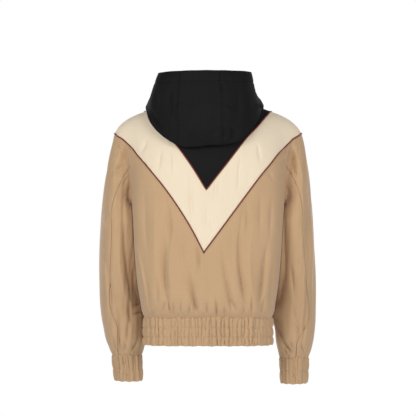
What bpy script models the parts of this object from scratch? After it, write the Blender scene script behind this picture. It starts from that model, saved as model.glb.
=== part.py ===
"""A hooded bomber jacket, filled out as it is worn, with nobody in it.

Metres, +Z up. The wearer faces -Y, so the wearer's left is +X. The origin is midway between the
shoulder tops, at the height where the hood meets the shoulders: the wearer holds the jacket there.

The trunk of the jacket is one smooth form, trunk(face, s, w): s runs from the middle of the back or
front (0) to the side seam (1), and w from the hem seam (0) over the shoulder blades (1) to the
shoulder line (2). Every panel of the trunk is a patch of that form, cut out by its seam lines.
A form is the outer face of the cloth, and the wall lies inside it.
"""

import functools
import math

import bpy
import numpy as np

# ------------------------------------------------------------------ driving sizes
CLOTH = 0.0016          # wall of a panel
BAND_CLOTH = 0.0024     # gathered cloth over elastic, in the hem band and the cuffs
HOOD_CLOTH = 0.0018
SEAM_GAP = 0.0003       # between two pieces that are sewn together
PIPING_RADIUS = 0.0014
HALF_ZIP = 0.0056       # from the middle of the front to a front panel's edge

HEM_BOTTOM = -0.632
HEM_SEAM = -0.556
BLADES = -0.200         # height of the shoulder blades, where the trunk starts to turn in
BACK_SQUARE = 2.6       # exponents of the trunk's rings: 2 is an ellipse, more is squarer
FRONT_SQUARE = 2.1
BACK_TURN = 2.2         # the same, for the turn from the blades up to the shoulder line
FRONT_TURN = 1.9
SHOULDER_X = 0.2535     # shoulder tip
JUNCTION_X = 0.227      # where the outer V seam meets the armhole
CUFF_DEPTH = 0.067

# The trunk's rings, from the hem seam to the shoulder blades.
TRUNK_COLUMNS = ("z", "half_width", "side_y", "back_y", "front_y")
TRUNK = (
    (-0.556, 0.1715, 0.010, 0.112, -0.122),
    (-0.542, 0.1775, 0.016, 0.125, -0.136),
    (-0.515, 0.1825, 0.024, 0.136, -0.148),
    (-0.470, 0.1895, 0.032, 0.141, -0.154),
    (-0.400, 0.1965, 0.038, 0.140, -0.155),
    (-0.300, 0.2025, 0.038, 0.137, -0.153),
    (-0.240, 0.2065, 0.030, 0.134, -0.150),
    (-0.200, 0.2085, 0.020, 0.132, -0.148),
)

# The shoulder line, from the middle of the neck to past the shoulder tip.
RIDGE_COLUMNS = ("x", "y", "z")
RIDGE = (
    (0.000, 0.000, 0.060),
    (0.085, 0.000, 0.031),
    (0.172, 0.000, 0.001),
    (0.202, 0.000, -0.011),
    (0.228, 0.000, -0.027),
    (0.243, 0.000, -0.042),
    (0.2535, 0.000, -0.059),
    (0.275, 0.000, -0.105),
    (0.300, 0.000, -0.170),
)
# The trunk column that ends at each place on the shoulder line.
COLUMN_COLUMNS = ("s", "x")
COLUMN_TOPS = ((0.00, 0.000), (0.30, 0.085), (0.60, 0.172), (0.85, 0.2535), (1.00, 0.300))

# The V seams, from the middle to the shoulder line: pairs of across and height. On the back the
# wearer's left and right differ a little, as the jacket hangs; in front they are alike.
OUTER_V = {
    ("back", "left"): (
        (0.0113, -0.379), (0.055, -0.297), (0.125, -0.195), (0.167, -0.1435), (0.196, -0.109), (0.217, -0.086),
        (0.235, -0.070),
    ),
    ("back", "right"): (
        (-0.0113, -0.379), (0.0435, -0.305), (0.101, -0.227), (0.139, -0.176), (0.177, -0.129), (0.216, -0.087),
        (0.234, -0.070),
    ),
    ("front", "both"): ((0.0, -0.372), (0.060, -0.290), (0.125, -0.200), (0.175, -0.135), (0.217, -0.088)),
}
INNER_V = {
    ("back", "left"): ((0.0046, -0.209), (0.044, -0.146), (0.083, -0.092), (0.125, -0.044)),
    ("back", "right"): ((-0.0046, -0.209), (0.049, -0.141), (0.100, -0.075), (0.140, -0.031), (0.158, -0.0105)),
    ("front", "both"): ((0.0, -0.205), (0.047, -0.145), (0.095, -0.083), (0.135, -0.037)),
}
INNER_V_X = 0.172       # where the inner V crosses the shoulder line

# The armhole below the outer V seam, from the junction (share 0) to the underarm (share 1).
ARMHOLE_COLUMNS = ("share", "s", "w")
ARMHOLE = {
    "back": ((0.30, 0.812, 1.26), (0.60, 0.856, 1.04), (0.84, 0.925, 0.91), (1.00, 1.0, 0.875)),
    "front": ((0.30, 0.765, 1.22), (0.60, 0.790, 1.01), (0.84, 0.880, 0.90), (1.00, 1.0, 0.875)),
}
V_SHARE = 0.20          # share of the half armhole that lies along the V seam, above the junction

# The neck seam on the trunk, from the middle (share 0) to the shoulder line (share 1).
NECK_COLUMNS = ("share", "s", "w")
NECK = {
    "back": ((0.0, 0.0, 1.60), (0.5, 0.150, 1.64), (1.0, 0.300, 2.0)),
    "front": ((0.0, 0.0, 1.345), (0.5, 0.160, 1.44), (1.0, 0.300, 2.0)),
}

# The sleeves' rings below the armhole. x and half_width are across, y and half_depth front to back.
SLEEVE_COLUMNS = ("z", "x", "y", "half_width", "half_depth")
SLEEVE = {
    "left": (
        (-0.300, 0.2415, -0.020, 0.0485, 0.076),
        (-0.370, 0.2425, -0.030, 0.0510, 0.075),
        (-0.450, 0.2400, -0.043, 0.0540, 0.071),
        (-0.520, 0.2355, -0.054, 0.0565, 0.067),
        (-0.580, 0.2265, -0.062, 0.0575, 0.062),
        (-0.622, 0.2220, -0.067, 0.0520, 0.055),
        (-0.646, 0.2198, -0.070, 0.0447, 0.047),
        (-0.658, 0.2185, -0.071, 0.0405, 0.042),
    ),
    "right": (
        (-0.300, 0.2375, -0.020, 0.0465, 0.076),
        (-0.370, 0.2390, -0.030, 0.0490, 0.075),
        (-0.450, 0.2390, -0.043, 0.0525, 0.071),
        (-0.520, 0.2370, -0.054, 0.0550, 0.067),
        (-0.585, 0.2355, -0.062, 0.0540, 0.062),
        (-0.628, 0.2340, -0.067, 0.0490, 0.055),
        (-0.652, 0.2330, -0.070, 0.0430, 0.047),
        (-0.665, 0.2320, -0.071, 0.0395, 0.042),
    ),
}
# How the sleeve leaves the armhole: round is the place on the armhole (0 shoulder tip, 0.5 underarm,
# by way of the back), angle the place on the sleeve's ring, and x, y, z the way it sets off.
SET_OFF_COLUMNS = ("round", "angle", "x", "y", "z")
SET_OFF = (
    (0.00, 0, 0.050, 0.000, -0.200),
    (0.10, 24, 0.090, 0.020, -0.200),
    (0.20, 46, 0.110, 0.020, -0.180),
    (0.32, 76, 0.100, -0.010, -0.140),
    (0.42, 120, 0.050, -0.050, -0.060),
    (0.50, 180, 0.020, -0.060, -0.020),
    (0.58, 236, 0.045, 0.010, -0.050),
    (0.68, 282, 0.090, 0.020, -0.120),
    (0.80, 314, 0.110, -0.010, -0.180),
    (0.90, 336, 0.090, -0.010, -0.200),
    (1.00, 360, 0.050, 0.000, -0.200),
)
FREE_SHARE = 0.30       # share of the sleeve's length between the armhole and its first ring

# The sleeve seams: the place round the sleeve (as above) of the back seam and of the front seam.
SEAM_COLUMNS = ("v", "back", "front")
SLEEVE_SEAMS = {
    "left": (
        (0.00, 0.2333, 0.6333),
        (0.20, 0.255, 0.66),
        (0.30, 0.285, 0.68),
        (0.59, 0.270, 0.68),
        (0.75, 0.250, 0.68),
        (0.85, 0.300, 0.68),
        (0.94, 0.265, 0.68),
        (1.00, 0.230, 0.68),
    ),
    "right": (
        (0.00, 0.2333, 0.6333),
        (0.12, 0.240, 0.65),
        (0.30, 0.295, 0.68),
        (0.43, 0.280, 0.68),
        (0.62, 0.253, 0.68),
        (0.80, 0.207, 0.68),
        (0.91, 0.330, 0.68),
        (1.00, 0.333, 0.68),
    ),
}

# The largest folds: soft troughs from one place (across, height) to another, with a width and a depth.
FOLD_COLUMNS = ("x0", "z0", "x1", "z1", "width", "depth")
TRUNK_FOLDS = {
    "back": (
        (0.111, -0.280, 0.124, -0.402, 0.016, 0.0055),
        (0.124, -0.402, 0.111, -0.505, 0.015, 0.0050),
        (0.121, -0.205, 0.106, -0.335, 0.014, 0.0030),
        (0.057, -0.412, 0.027, -0.540, 0.015, 0.0055),
        (-0.098, -0.232, -0.086, -0.421, 0.017, 0.0050),
        (-0.086, -0.421, -0.116, -0.545, 0.015, 0.0045),
        (-0.156, -0.355, -0.145, -0.490, 0.014, 0.0050),
        (-0.034, -0.325, -0.043, -0.493, 0.016, 0.0035),
        (-0.043, -0.493, -0.076, -0.550, 0.012, 0.0035),
        (0.042, -0.165, 0.042, -0.262, 0.013, 0.0020),
        (-0.027, -0.175, -0.021, -0.242, 0.013, 0.0020),
    ),
    "front": (
        (0.118, -0.270, 0.126, -0.400, 0.016, 0.0050),
        (0.126, -0.400, 0.104, -0.515, 0.015, 0.0045),
        (0.066, -0.420, 0.052, -0.540, 0.014, 0.0045),
        (-0.104, -0.240, -0.092, -0.415, 0.017, 0.0045),
        (-0.092, -0.415, -0.118, -0.540, 0.015, 0.0045),
        (-0.150, -0.350, -0.140, -0.490, 0.014, 0.0045),
        (-0.058, -0.430, -0.066, -0.545, 0.013, 0.0040),
    ),
}
SLEEVE_FOLDS = {
    "left": {
        "back": (
            (0.222, -0.250, 0.229, -0.352, 0.014, 0.0060),
            (0.229, -0.352, 0.204, -0.467, 0.014, 0.0065),
            (0.204, -0.467, 0.187, -0.548, 0.013, 0.0050),
            (0.262, -0.480, 0.244, -0.600, 0.013, 0.0040),
        ),
        "front": (
            (0.226, -0.290, 0.240, -0.400, 0.014, 0.0050),
            (0.214, -0.430, 0.240, -0.520, 0.014, 0.0050),
            (0.196, -0.530, 0.226, -0.610, 0.013, 0.0045),
        ),
    },
    "right": {
        "back": (
            (-0.221, -0.128, -0.239, -0.182, 0.012, 0.0030),
            (-0.212, -0.240, -0.208, -0.350, 0.013, 0.0045),
            (-0.221, -0.415, -0.234, -0.505, 0.014, 0.0060),
            (-0.212, -0.560, -0.244, -0.615, 0.013, 0.0045),
        ),
        "front": (
            (-0.222, -0.300, -0.238, -0.410, 0.014, 0.0050),
            (-0.210, -0.440, -0.238, -0.530, 0.014, 0.0050),
            (-0.204, -0.560, -0.234, -0.620, 0.013, 0.0045),
        ),
    },
}

# The laid-down hood, from the middle of the front (turn -1, by the wearer's right) over the middle
# of the back (0) to the front again (1, by the left). fold is where its lowest line rests on the
# trunk: the column s, and over, which is 2 - w on the back and w - 2 on the front. belly is its
# outermost line and rim its upper edge; full is how far the bag is filled out.
HOOD_COLUMNS = ("turn", "fold_s", "over", "full", "belly_x", "belly_y", "belly_z", "rim_x", "rim_y", "rim_z")
HOOD = (
    (-1.00, -0.006, -0.645, 0.25, -0.002, -0.124, -0.058, -0.002, -0.108, -0.040),
    (-0.84, -0.262, -0.560, 0.45, -0.080, -0.120, -0.030, -0.064, -0.092, 0.020),
    (-0.66, -0.470, -0.300, 0.40, -0.129, -0.058, 0.034, -0.110, -0.048, 0.082),
    (-0.50, -0.505, 0.000, 0.30, -0.132, 0.008, 0.046, -0.1165, 0.006, 0.104),
    (-0.34, -0.437, 0.385, 0.60, -0.130, 0.076, 0.032, -0.113, 0.060, 0.109),
    (-0.18, -0.268, 0.632, 1.00, -0.092, 0.145, 0.000, -0.074, 0.100, 0.112),
    (-0.0625, -0.110, 0.700, 1.00, -0.0370, 0.165, -0.008, -0.0290, 0.114, 0.113),
    (0.00, 0.038, 0.715, 1.00, 0.012, 0.168, -0.010, 0.011, 0.116, 0.113),
    (0.18, 0.310, 0.640, 1.00, 0.106, 0.145, 0.002, 0.094, 0.101, 0.1105),
    (0.34, 0.505, 0.400, 0.75, 0.152, 0.080, 0.032, 0.131, 0.060, 0.1065),
    (0.50, 0.565, 0.000, 0.40, 0.156, 0.008, 0.046, 0.132, 0.006, 0.1030),
    (0.66, 0.520, -0.300, 0.50, 0.146, -0.058, 0.034, 0.123, -0.048, 0.082),
    (0.84, 0.262, -0.560, 0.45, 0.082, -0.120, -0.030, 0.068, -0.092, 0.020),
    (1.00, 0.006, -0.645, 0.25, 0.002, -0.124, -0.058, 0.002, -0.108, -0.040),
)
HOOD_SEAMS = (-0.0625, 0.125)    # turn of the centre strip's two seams
HOOD_UNDER = 0.36               # share of the hood's section that lies under the fold
HOOD_CLEAR = 0.006              # how far the fold lies off the yoke

# Steps along each seam, shared by the pieces on both sides of it.
V_STEPS = 6             # along an outer V seam, from the middle to the junction
TIP_STEPS = 2           # from the junction to the shoulder tip
ARM_STEPS = 9           # along the armhole, junction to underarm


# ------------------------------------------------------------------ curves
def column(table, names, name):
    return np.array([row[names.index(name)] for row in table], float)


def curve(xs, ys, x):
    """A smooth curve through the points, held level past its ends."""
    xs = np.asarray(xs, float)
    ys = np.asarray(ys, float)
    x = np.asarray(x, float)
    if len(xs) < 3:
        return np.interp(x, xs, ys)
    slope = np.gradient(ys, xs)
    k = np.clip(np.searchsorted(xs, x) - 1, 0, len(xs) - 2)
    step = xs[k + 1] - xs[k]
    t = np.clip((x - xs[k]) / step, 0.0, 1.0)
    level = (1 + 2 * t) * (1 - t) ** 2 * ys[k] + t * t * (3 - 2 * t) * ys[k + 1]
    return level + step * (t * (1 - t) ** 2 * slope[k] - t * t * (1 - t) * slope[k + 1])


def along(table, names, name, x):
    return curve(column(table, names, names[0]), column(table, names, name), x)


def unit(v):
    return v / np.maximum(np.linalg.norm(v, axis=-1, keepdims=True), 1e-12)


def ease(t):
    t = np.clip(t, 0.0, 1.0)
    return t * t * (3 - 2 * t)


# ------------------------------------------------------------------ the trunk
def rounded(turn, square):
    """(across, along) on a rounded quarter, turn 0 straight ahead and 1 fully across."""
    c = np.abs(np.cos(turn * math.pi / 2))
    s = np.abs(np.sin(turn * math.pi / 2))
    reach = (c ** square + s ** square) ** (-1 / square)
    return reach * s, reach * c


def ring_sizes(face, z):
    z = np.clip(z, HEM_SEAM, BLADES)
    half = along(TRUNK, TRUNK_COLUMNS, "half_width", z)
    side = along(TRUNK, TRUNK_COLUMNS, "side_y", z)
    far = along(TRUNK, TRUNK_COLUMNS, face + "_y", z)
    return half, side, far


def ring(face, z, s):
    half, side, far = ring_sizes(face, z)
    across, ahead = rounded(s, BACK_SQUARE if face == "back" else FRONT_SQUARE)
    return half * across, side + (far - side) * ahead


def ridge(x):
    return along(RIDGE, RIDGE_COLUMNS, "y", x), along(RIDGE, RIDGE_COLUMNS, "z", x)


def relief(table, x, z):
    """How deep the folds are here."""
    depth = np.zeros(np.broadcast(x, z).shape)
    for row in table:
        x0, z0, x1, z1, width, deep = (row[FOLD_COLUMNS.index(name)] for name in FOLD_COLUMNS)
        length = math.hypot(x1 - x0, z1 - z0)
        u = ((x - x0) * (x1 - x0) + (z - z0) * (z1 - z0)) / length ** 2
        off = ((x - x0) * (z1 - z0) - (z - z0) * (x1 - x0)) / length
        ends = np.exp(-(np.maximum(np.abs(u - 0.5) - 0.32, 0) / 0.14) ** 2)
        depth = depth + deep * ends * np.exp(-(off / width) ** 2)
    return depth


def trunk(face, s, w):
    """The outer face of the trunk, with its folds. s is below zero on the wearer's right."""
    p = smooth_trunk(face, s, w)
    shallow = ease(np.asarray(w, float) / 0.08)
    deep = relief(TRUNK_FOLDS[face], p[..., 0], p[..., 2]) * shallow
    half, side, far = ring_sizes(face, p[..., 2])
    x, y = -p[..., 0] / half ** 2, -(p[..., 1] - side) / (far - side) ** 2
    return p + unit(np.stack([x, y, 0 * half], axis=-1)) * deep[..., None]


def smooth_trunk(face, s, w):
    side = np.where(np.asarray(s) < 0, -1.0, 1.0)
    s, w = np.broadcast_arrays(np.abs(np.asarray(s, float)), np.asarray(w, float))
    low_z = HEM_SEAM + np.minimum(w, 1.0) * (BLADES - HEM_SEAM)
    x, y = ring(face, low_z, s)
    top_x = along(COLUMN_TOPS, COLUMN_COLUMNS, "x", s)
    top_y, top_z = ridge(top_x)
    up, on = rounded(np.clip(w - 1, 0.0, 1.0), BACK_TURN if face == "back" else FRONT_TURN)
    x = x + (top_x - x) * up ** 2
    y = y + (top_y - y) * (1 - on)
    z = low_z + (top_z - BLADES) * up
    return np.stack([side * x, y, z], axis=-1)


def trunk_normal(face, s, w):
    """Square to the trunk, facing out, and level along the hem seam."""
    s, w = np.broadcast_arrays(np.asarray(s, float), np.asarray(w, float))
    d = 1e-4
    sign = np.where(s < 0, -1.0, 1.0)
    a = np.clip(np.abs(s), d, 1 - d)
    b = np.clip(w, d, 2 - d)
    across = trunk(face, a + d, b) - trunk(face, a - d, b)
    up = trunk(face, a, b + d) - trunk(face, a, b - d)
    n = unit(np.cross(across, up))
    n = n if face == "front" else -n
    n[..., 0] *= sign
    n[..., 0] = np.where(np.abs(s) < d, 0.0, n[..., 0])
    n[..., 2] = np.where(w < 1e-3, 0.0, n[..., 2])
    # At the shoulder line the two faces share one direction, square to the line.
    top_x = along(COLUMN_TOPS, COLUMN_COLUMNS, "x", a)
    drop = (ridge(top_x + 1e-4)[1] - ridge(top_x - 1e-4)[1]) / 2e-4
    shared = unit(np.stack([-drop * sign, np.zeros_like(drop), np.ones_like(drop)], axis=-1))
    blend = np.clip((w - 1.9) / 0.1, 0, 1)[..., None]
    return unit(n * (1 - blend) + shared * blend)


@functools.lru_cache(maxsize=None)
def find(face, x, z):
    """The (s, w) of the trunk at this place across and this height; x may be just over the middle."""
    s = min(x / 0.25, 0.9)
    least = 1e-3 if x > 0 else min(x, 0.0) / 0.1
    w = (z - HEM_SEAM) / (BLADES - HEM_SEAM) if z < BLADES else 1 + (z - BLADES) / 0.3
    for _ in range(14):
        p = trunk(face, s, w)
        error = np.array([x - p[0], z - p[2]])
        ds = (trunk(face, s + 1e-5, w) - p)[[0, 2]] / 1e-5
        dw = (trunk(face, s, w + 1e-5) - p)[[0, 2]] / 1e-5
        step = np.linalg.solve(np.column_stack([ds, dw]), error)
        s = float(np.clip(s + 0.85 * step[0], least, 0.98))
        w = float(np.clip(w + 0.85 * step[1], 0.01, 1.97))
    return s, w


def s_of_top(x):
    """The trunk column that ends at this place on the shoulder line."""
    tops, columns = (column(COLUMN_TOPS, COLUMN_COLUMNS, name) for name in ("x", "s"))
    return float(np.interp(x, tops, columns))


def spread(rows, shares):
    """Places along a line through (s, w) rows, by its share of the length."""
    rows = np.array(rows, float)
    length = np.concatenate([[0], np.cumsum(np.linalg.norm(np.diff(rows, axis=0), axis=1))])
    length /= length[-1]
    return np.stack([curve(length, rows[:, 0], shares), curve(length, rows[:, 1], shares)], axis=-1)


def v_line(table, face, side, top_x, shares):
    """(s, w) along a V seam from the middle (share 0) to the shoulder line (share 1)."""
    seam = table.get((face, side)) or table[face, "both"]
    rows = [find(face, x, z) for x, z in seam]
    return spread(rows + [(s_of_top(top_x), 2.0)], shares)


@functools.lru_cache(maxsize=None)
def v_share_at(face, side, x):
    """The share of the outer V seam at which it reaches this place across."""
    shares = np.linspace(0.5, 1.0, 201)
    line = v_line(OUTER_V, face, side, SHOULDER_X, shares)
    across = np.abs(trunk(face, line[:, 0], line[:, 1])[:, 0])
    return float(shares[np.argmin(np.abs(across - x))])


def outer_v_shares(face, side):
    """Shared steps along the outer V seam: middle to junction, then junction to shoulder line."""
    junction = v_share_at(face, side, JUNCTION_X)
    low, high = np.linspace(0, junction, V_STEPS + 1), np.linspace(junction, 1, TIP_STEPS + 1)
    return np.concatenate([low, high[1:]])


def armhole(face, side, shares):
    """(s, w) from the shoulder tip (share 0) by the V seam to the underarm (share 1)."""
    junction = v_share_at(face, side, JUNCTION_X)
    start = v_line(OUTER_V, face, side, SHOULDER_X, np.array([junction]))[0]
    rows = ((0.0, start[0], start[1]),) + ARMHOLE[face]
    shares = np.asarray(shares, float)
    low = (shares - V_SHARE) / (1 - V_SHARE)
    below = np.stack([along(rows, ARMHOLE_COLUMNS, name, low) for name in ("s", "w")], axis=-1)
    high = 1 - (1 - junction) * np.clip(shares / V_SHARE, 0, 1)
    above = v_line(OUTER_V, face, side, SHOULDER_X, high)
    return np.where((shares < V_SHARE)[:, None], above, below)


# ------------------------------------------------------------------ the sleeves
def sleeve_ring(side, z, angle):
    sign = 1.0 if side == "left" else -1.0
    table = SLEEVE[side]
    across, middle, half, deep = (
        along(table[::-1], SLEEVE_COLUMNS, name, z) for name in ("x", "y", "half_width", "half_depth")
    )
    a = np.radians(angle)
    return np.stack([sign * (across + half * np.cos(a)), middle + deep * np.sin(a), z + 0 * a], axis=-1)


def armhole_point(side, place):
    """(point, trunk normal) on the whole armhole, place 0 at the shoulder tip and 0.5 at the underarm."""
    place = np.asarray(place, float)
    sign = 1.0 if side == "left" else -1.0
    shape = place.shape
    flat = place.ravel() % 1.0
    points = np.zeros((flat.size, 3))
    normals = np.zeros((flat.size, 3))
    for face in ("back", "front"):
        pick = flat <= 0.5 if face == "back" else flat > 0.5
        share = 2 * flat[pick] if face == "back" else 2 * (1 - flat[pick])
        line = armhole(face, side, share)
        points[pick] = trunk(face, sign * line[:, 0], line[:, 1])
        normals[pick] = trunk_normal(face, sign * line[:, 0], line[:, 1])
    return points.reshape(shape + (3,)), normals.reshape(shape + (3,))


def clear_of_trunk(points, clearance):
    """Moves what would press into the trunk out to its side, this far off it."""
    sign = np.where(points[..., 0] < 0, -1.0, 1.0)
    x, y, z = np.abs(points[..., 0]), points[..., 1], points[..., 2]
    half, side, back = ring_sizes("back", z)
    front = ring_sizes("front", z)[2]
    ahead = np.where(y > side, (y - side) / (back - side), (y - side) / (front - side))
    square = np.where(y > side, BACK_SQUARE, FRONT_SQUARE)
    wall = half * (1 - np.clip(ahead, 0, 1) ** square) ** (1 / square)
    below = ease((BLADES - 0.030 - z) / 0.030)
    least = np.where(below > 0, wall + clearance - (1 - below) * 0.03, 0.0)
    # A soft meeting: the cloth leans on the trunk over some width.
    soft = 0.004
    leaning = least + soft * np.log1p(np.exp(np.clip((x - least) / soft, -30, 30)))
    over = np.where(x - least > 6 * soft, x, leaning)
    return np.stack([sign * over, y, z], axis=-1)


def sleeve(side, place, v):
    """The outer face of a sleeve. place goes round it (0 outermost at the tip), v down it (1 at the cuff)."""
    place, v = np.broadcast_arrays(np.asarray(place, float), np.asarray(v, float))
    sign = 1.0 if side == "left" else -1.0
    table = SLEEVE[side]
    first, last = table[0][0], table[-1][0]
    angle = along(SET_OFF, SET_OFF_COLUMNS, "angle", place)
    low = np.clip((v - FREE_SHARE) / (1 - FREE_SHARE), 0, 1)
    z = first + (last - first) * low
    tube = sleeve_ring(side, z, angle)
    start = armhole_point(side, place)[0]
    off = np.stack([along(SET_OFF, SET_OFF_COLUMNS, name, place) for name in ("x", "y", "z")], axis=-1)
    off[..., 0] *= sign
    top = sleeve_ring(side, np.full(v.shape, first), angle)
    lower = sleeve_ring(side, np.full(v.shape, first - 0.02), angle)
    drop = np.linalg.norm(top - start, axis=-1, keepdims=True)
    away = (lower - top) / 0.02 * drop
    t = np.clip(v / FREE_SHARE, 0, 1)[..., None]
    free = (1 + 2 * t) * (1 - t) ** 2 * start + t * t * (3 - 2 * t) * top
    free = free + t * (1 - t) ** 2 * off - t * t * (1 - t) * away
    p = np.where(v[..., None] < FREE_SHARE, free, tube)
    ahead = (p[..., 1] - along(table[::-1], SLEEVE_COLUMNS, "y", p[..., 2])) / 0.06
    folds = SLEEVE_FOLDS[side]
    deep = relief(folds["back"], p[..., 0], p[..., 2]) * np.clip(ahead, 0, 1)
    deep = deep - relief(folds["front"], p[..., 0], p[..., 2]) * np.clip(-ahead, 0, 1)
    p = p - np.stack([0 * deep, deep * ease(v / 0.05) * ease((1 - v) / 0.05), 0 * deep], axis=-1)
    clear = 0.0006 + 0.0035 * ease(v / 0.10)
    pushed = clear_of_trunk(p, clear)
    return np.where((v > 1e-6)[..., None], pushed, p)


def sleeve_normal(side, place, v):
    place, v = np.broadcast_arrays(np.asarray(place, float), np.asarray(v, float))
    d = 1.5e-3
    b = np.clip(v, 2 * d, 1 - d)
    around = sleeve(side, (place + d) % 1.0, b) - sleeve(side, (place - d) % 1.0, b)
    down = sleeve(side, place % 1.0, b + d) - sleeve(side, place % 1.0, b - d)
    n = unit(np.cross(around, down)) * (-1.0 if side == "left" else 1.0)
    level = n * np.array([1.0, 1.0, 0.0])
    return unit(np.where((v > 1 - 1e-3)[..., None], level, n))


# ------------------------------------------------------------------ the hood
def neck_line(turn):
    """(s, over) of the neck seam at this turn; over is above zero on the back and below it in front."""
    size = abs(turn)
    face = "back" if size <= 0.5 else "front"
    share = 2 * size if size <= 0.5 else 2 * (1 - size)
    s = along(NECK[face], NECK_COLUMNS, "s", share)
    w = along(NECK[face], NECK_COLUMNS, "w", share)
    return math.copysign(1.0, turn) * float(s), float(2 - w if face == "back" else w - 2)


def on_trunk(s, over, lift):
    """A point this far off the trunk, on the back or over the shoulder line in front."""
    face = "back" if over >= 0 else "front"
    return trunk(face, s, 2 - abs(over)) + trunk_normal(face, s, 2 - abs(over)) * lift


def hood_keys(turn):
    """The control points of the hood's section here, from the neck seam round the fold to the rim."""
    s, over = neck_line(turn)
    value = {name: float(along(HOOD, HOOD_COLUMNS, name, turn)) for name in HOOD_COLUMNS[1:]}
    fold_s, fold_over, full = value["fold_s"], value["over"], value["full"]
    spots = []
    for share in (0.0, 0.3, 0.65, 1.0):
        lift = 0.0004 + HOOD_CLEAR * share ** 0.35
        spots.append(on_trunk(s + (fold_s - s) * share, over + (fold_over - over) * share, lift))
    out = unit(on_trunk(fold_s, fold_over, 0.01) - on_trunk(fold_s, fold_over, 0.0))
    down = unit(spots[3] - spots[2])
    spots.append(spots[3] + out * 0.010 * full + down * 0.010 * full)
    spots.append(spots[3] + out * 0.028 * full - down * 0.004 * full)
    spots.append(np.array([value["belly_x"], value["belly_y"], value["belly_z"]]))
    spots.append(np.array([value["rim_x"], value["rim_y"], value["rim_z"]]))
    return np.array(spots)


def hood(turns, vs):
    """Grid of points of the hood's outer face, a row per v (0 neck seam, 1 rim) and a column per turn."""
    columns = []
    for turn in turns:
        keys = hood_keys(float(turn))
        length = np.concatenate([[0], np.cumsum(np.linalg.norm(np.diff(keys, axis=0), axis=1))])
        at_fold = length[4]
        places = np.where(vs < HOOD_UNDER, vs / HOOD_UNDER * at_fold,
                          at_fold + (vs - HOOD_UNDER) / (1 - HOOD_UNDER) * (length[-1] - at_fold))
        columns.append(np.stack([curve(length, keys[:, k], places) for k in range(3)], axis=-1))
    return np.stack(columns, axis=1)


# ------------------------------------------------------------------ solids from grids
def inset(grid, normals, low=0.0, high=0.0, left=0.0, right=0.0):
    """The grid with its four edges moved in, square to each edge: low and high are its first and last
    row. Each amount is one size, or a size for each step along that edge."""
    rows, columns = grid.shape[:2]
    loop = [(0, j) for j in range(columns)] + [(i, columns - 1) for i in range(1, rows)]
    loop += [(rows - 1, j) for j in range(columns - 2, -1, -1)] + [(i, 0) for i in range(rows - 2, 0, -1)]
    amounts = np.concatenate([
        np.broadcast_to(low, (columns - 1,)),
        np.broadcast_to(right, (rows - 1,)),
        np.broadcast_to(high, (columns - 1,))[::-1],
        np.broadcast_to(left, (rows - 1,))[::-1],
    ])
    line = np.array([grid[k] for k in loop])
    ways = np.array([normals[k] for k in loop])
    sides = unit(np.cross(ways + np.roll(ways, -1, axis=0), np.roll(line, -1, axis=0) - line))
    # The first step runs along the low edge, and its inside lies towards the second row.
    if np.dot(sides[columns // 2], grid[1, columns // 2] - grid[0, columns // 2]) < 0:
        sides = -sides
    moved = np.array(grid)
    for k, place in enumerate(loop):
        n1, n2, a1, a2 = sides[k - 1], sides[k], amounts[k - 1], amounts[k]
        c = float(np.dot(n1, n2))
        if c > 0.9 or c < -0.985:
            moved[place] += unit(n1 + n2) * max(a1, a2)
        else:
            moved[place] += (n1 * (a1 - c * a2) + n2 * (a2 - c * a1)) / (1 - c * c)
    return moved


def add_mesh(name, points, faces):
    mesh = bpy.data.meshes.new(name)
    mesh.from_pydata([tuple(p) for p in points], [], faces)
    mesh.update()
    obj = bpy.data.objects.new(name, mesh)
    bpy.context.scene.collection.objects.link(obj)
    return obj


def signed_volume(points, faces):
    total = 0.0
    for face in faces:
        for k in range(1, len(face) - 1):
            a, b, c = points[face[0]], points[face[k]], points[face[k + 1]]
            total += np.dot(a, np.cross(b, c))
    return total


def shell(name, outer, inner, ring_round=False):
    """One closed solid between two grids, joined along their edges; ring_round closes the columns."""
    rows, columns = outer.shape[:2]
    points = np.vstack([outer.reshape(-1, 3), inner.reshape(-1, 3)])
    half = rows * columns
    faces = []
    last = columns if ring_round else columns - 1
    for i in range(rows - 1):
        for j in range(last):
            k = (j + 1) % columns
            a, b, c, d = i * columns + j, i * columns + k, (i + 1) * columns + k, (i + 1) * columns + j
            # Both faces of the wall are split along the same, shorter diagonal, so that they never cross.
            if np.linalg.norm(points[a] - points[c]) > np.linalg.norm(points[b] - points[d]):
                a, b, c, d = b, c, d, a
            for face in ((a, b, c), (a, c, d)):
                faces.append(face)
                faces.append(tuple(half + m for m in face[::-1]))

    def rim(a, b, turned):
        """The wall's end between two neighbours, split alike in the two pieces that meet there."""
        forward = np.dot(points[b] - points[a], (0.37, 0.61, 0.70)) > 0
        first, second = ((a, b, half + b), (a, half + b, half + a))
        if not forward:
            first, second = ((a, b, half + a), (b, half + b, half + a))
        for face in (first, second):
            faces.append(face[::-1] if turned else face)

    for i in (0, rows - 1):
        for j in range(last):
            rim(i * columns + j, i * columns + (j + 1) % columns, i == 0)
    if not ring_round:
        for j in (0, columns - 1):
            for i in range(rows - 1):
                rim(i * columns + j, (i + 1) * columns + j, j != 0)
    if signed_volume(points, faces) < 0:
        faces = [face[::-1] for face in faces]
    return add_mesh(name, points, faces)


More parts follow.
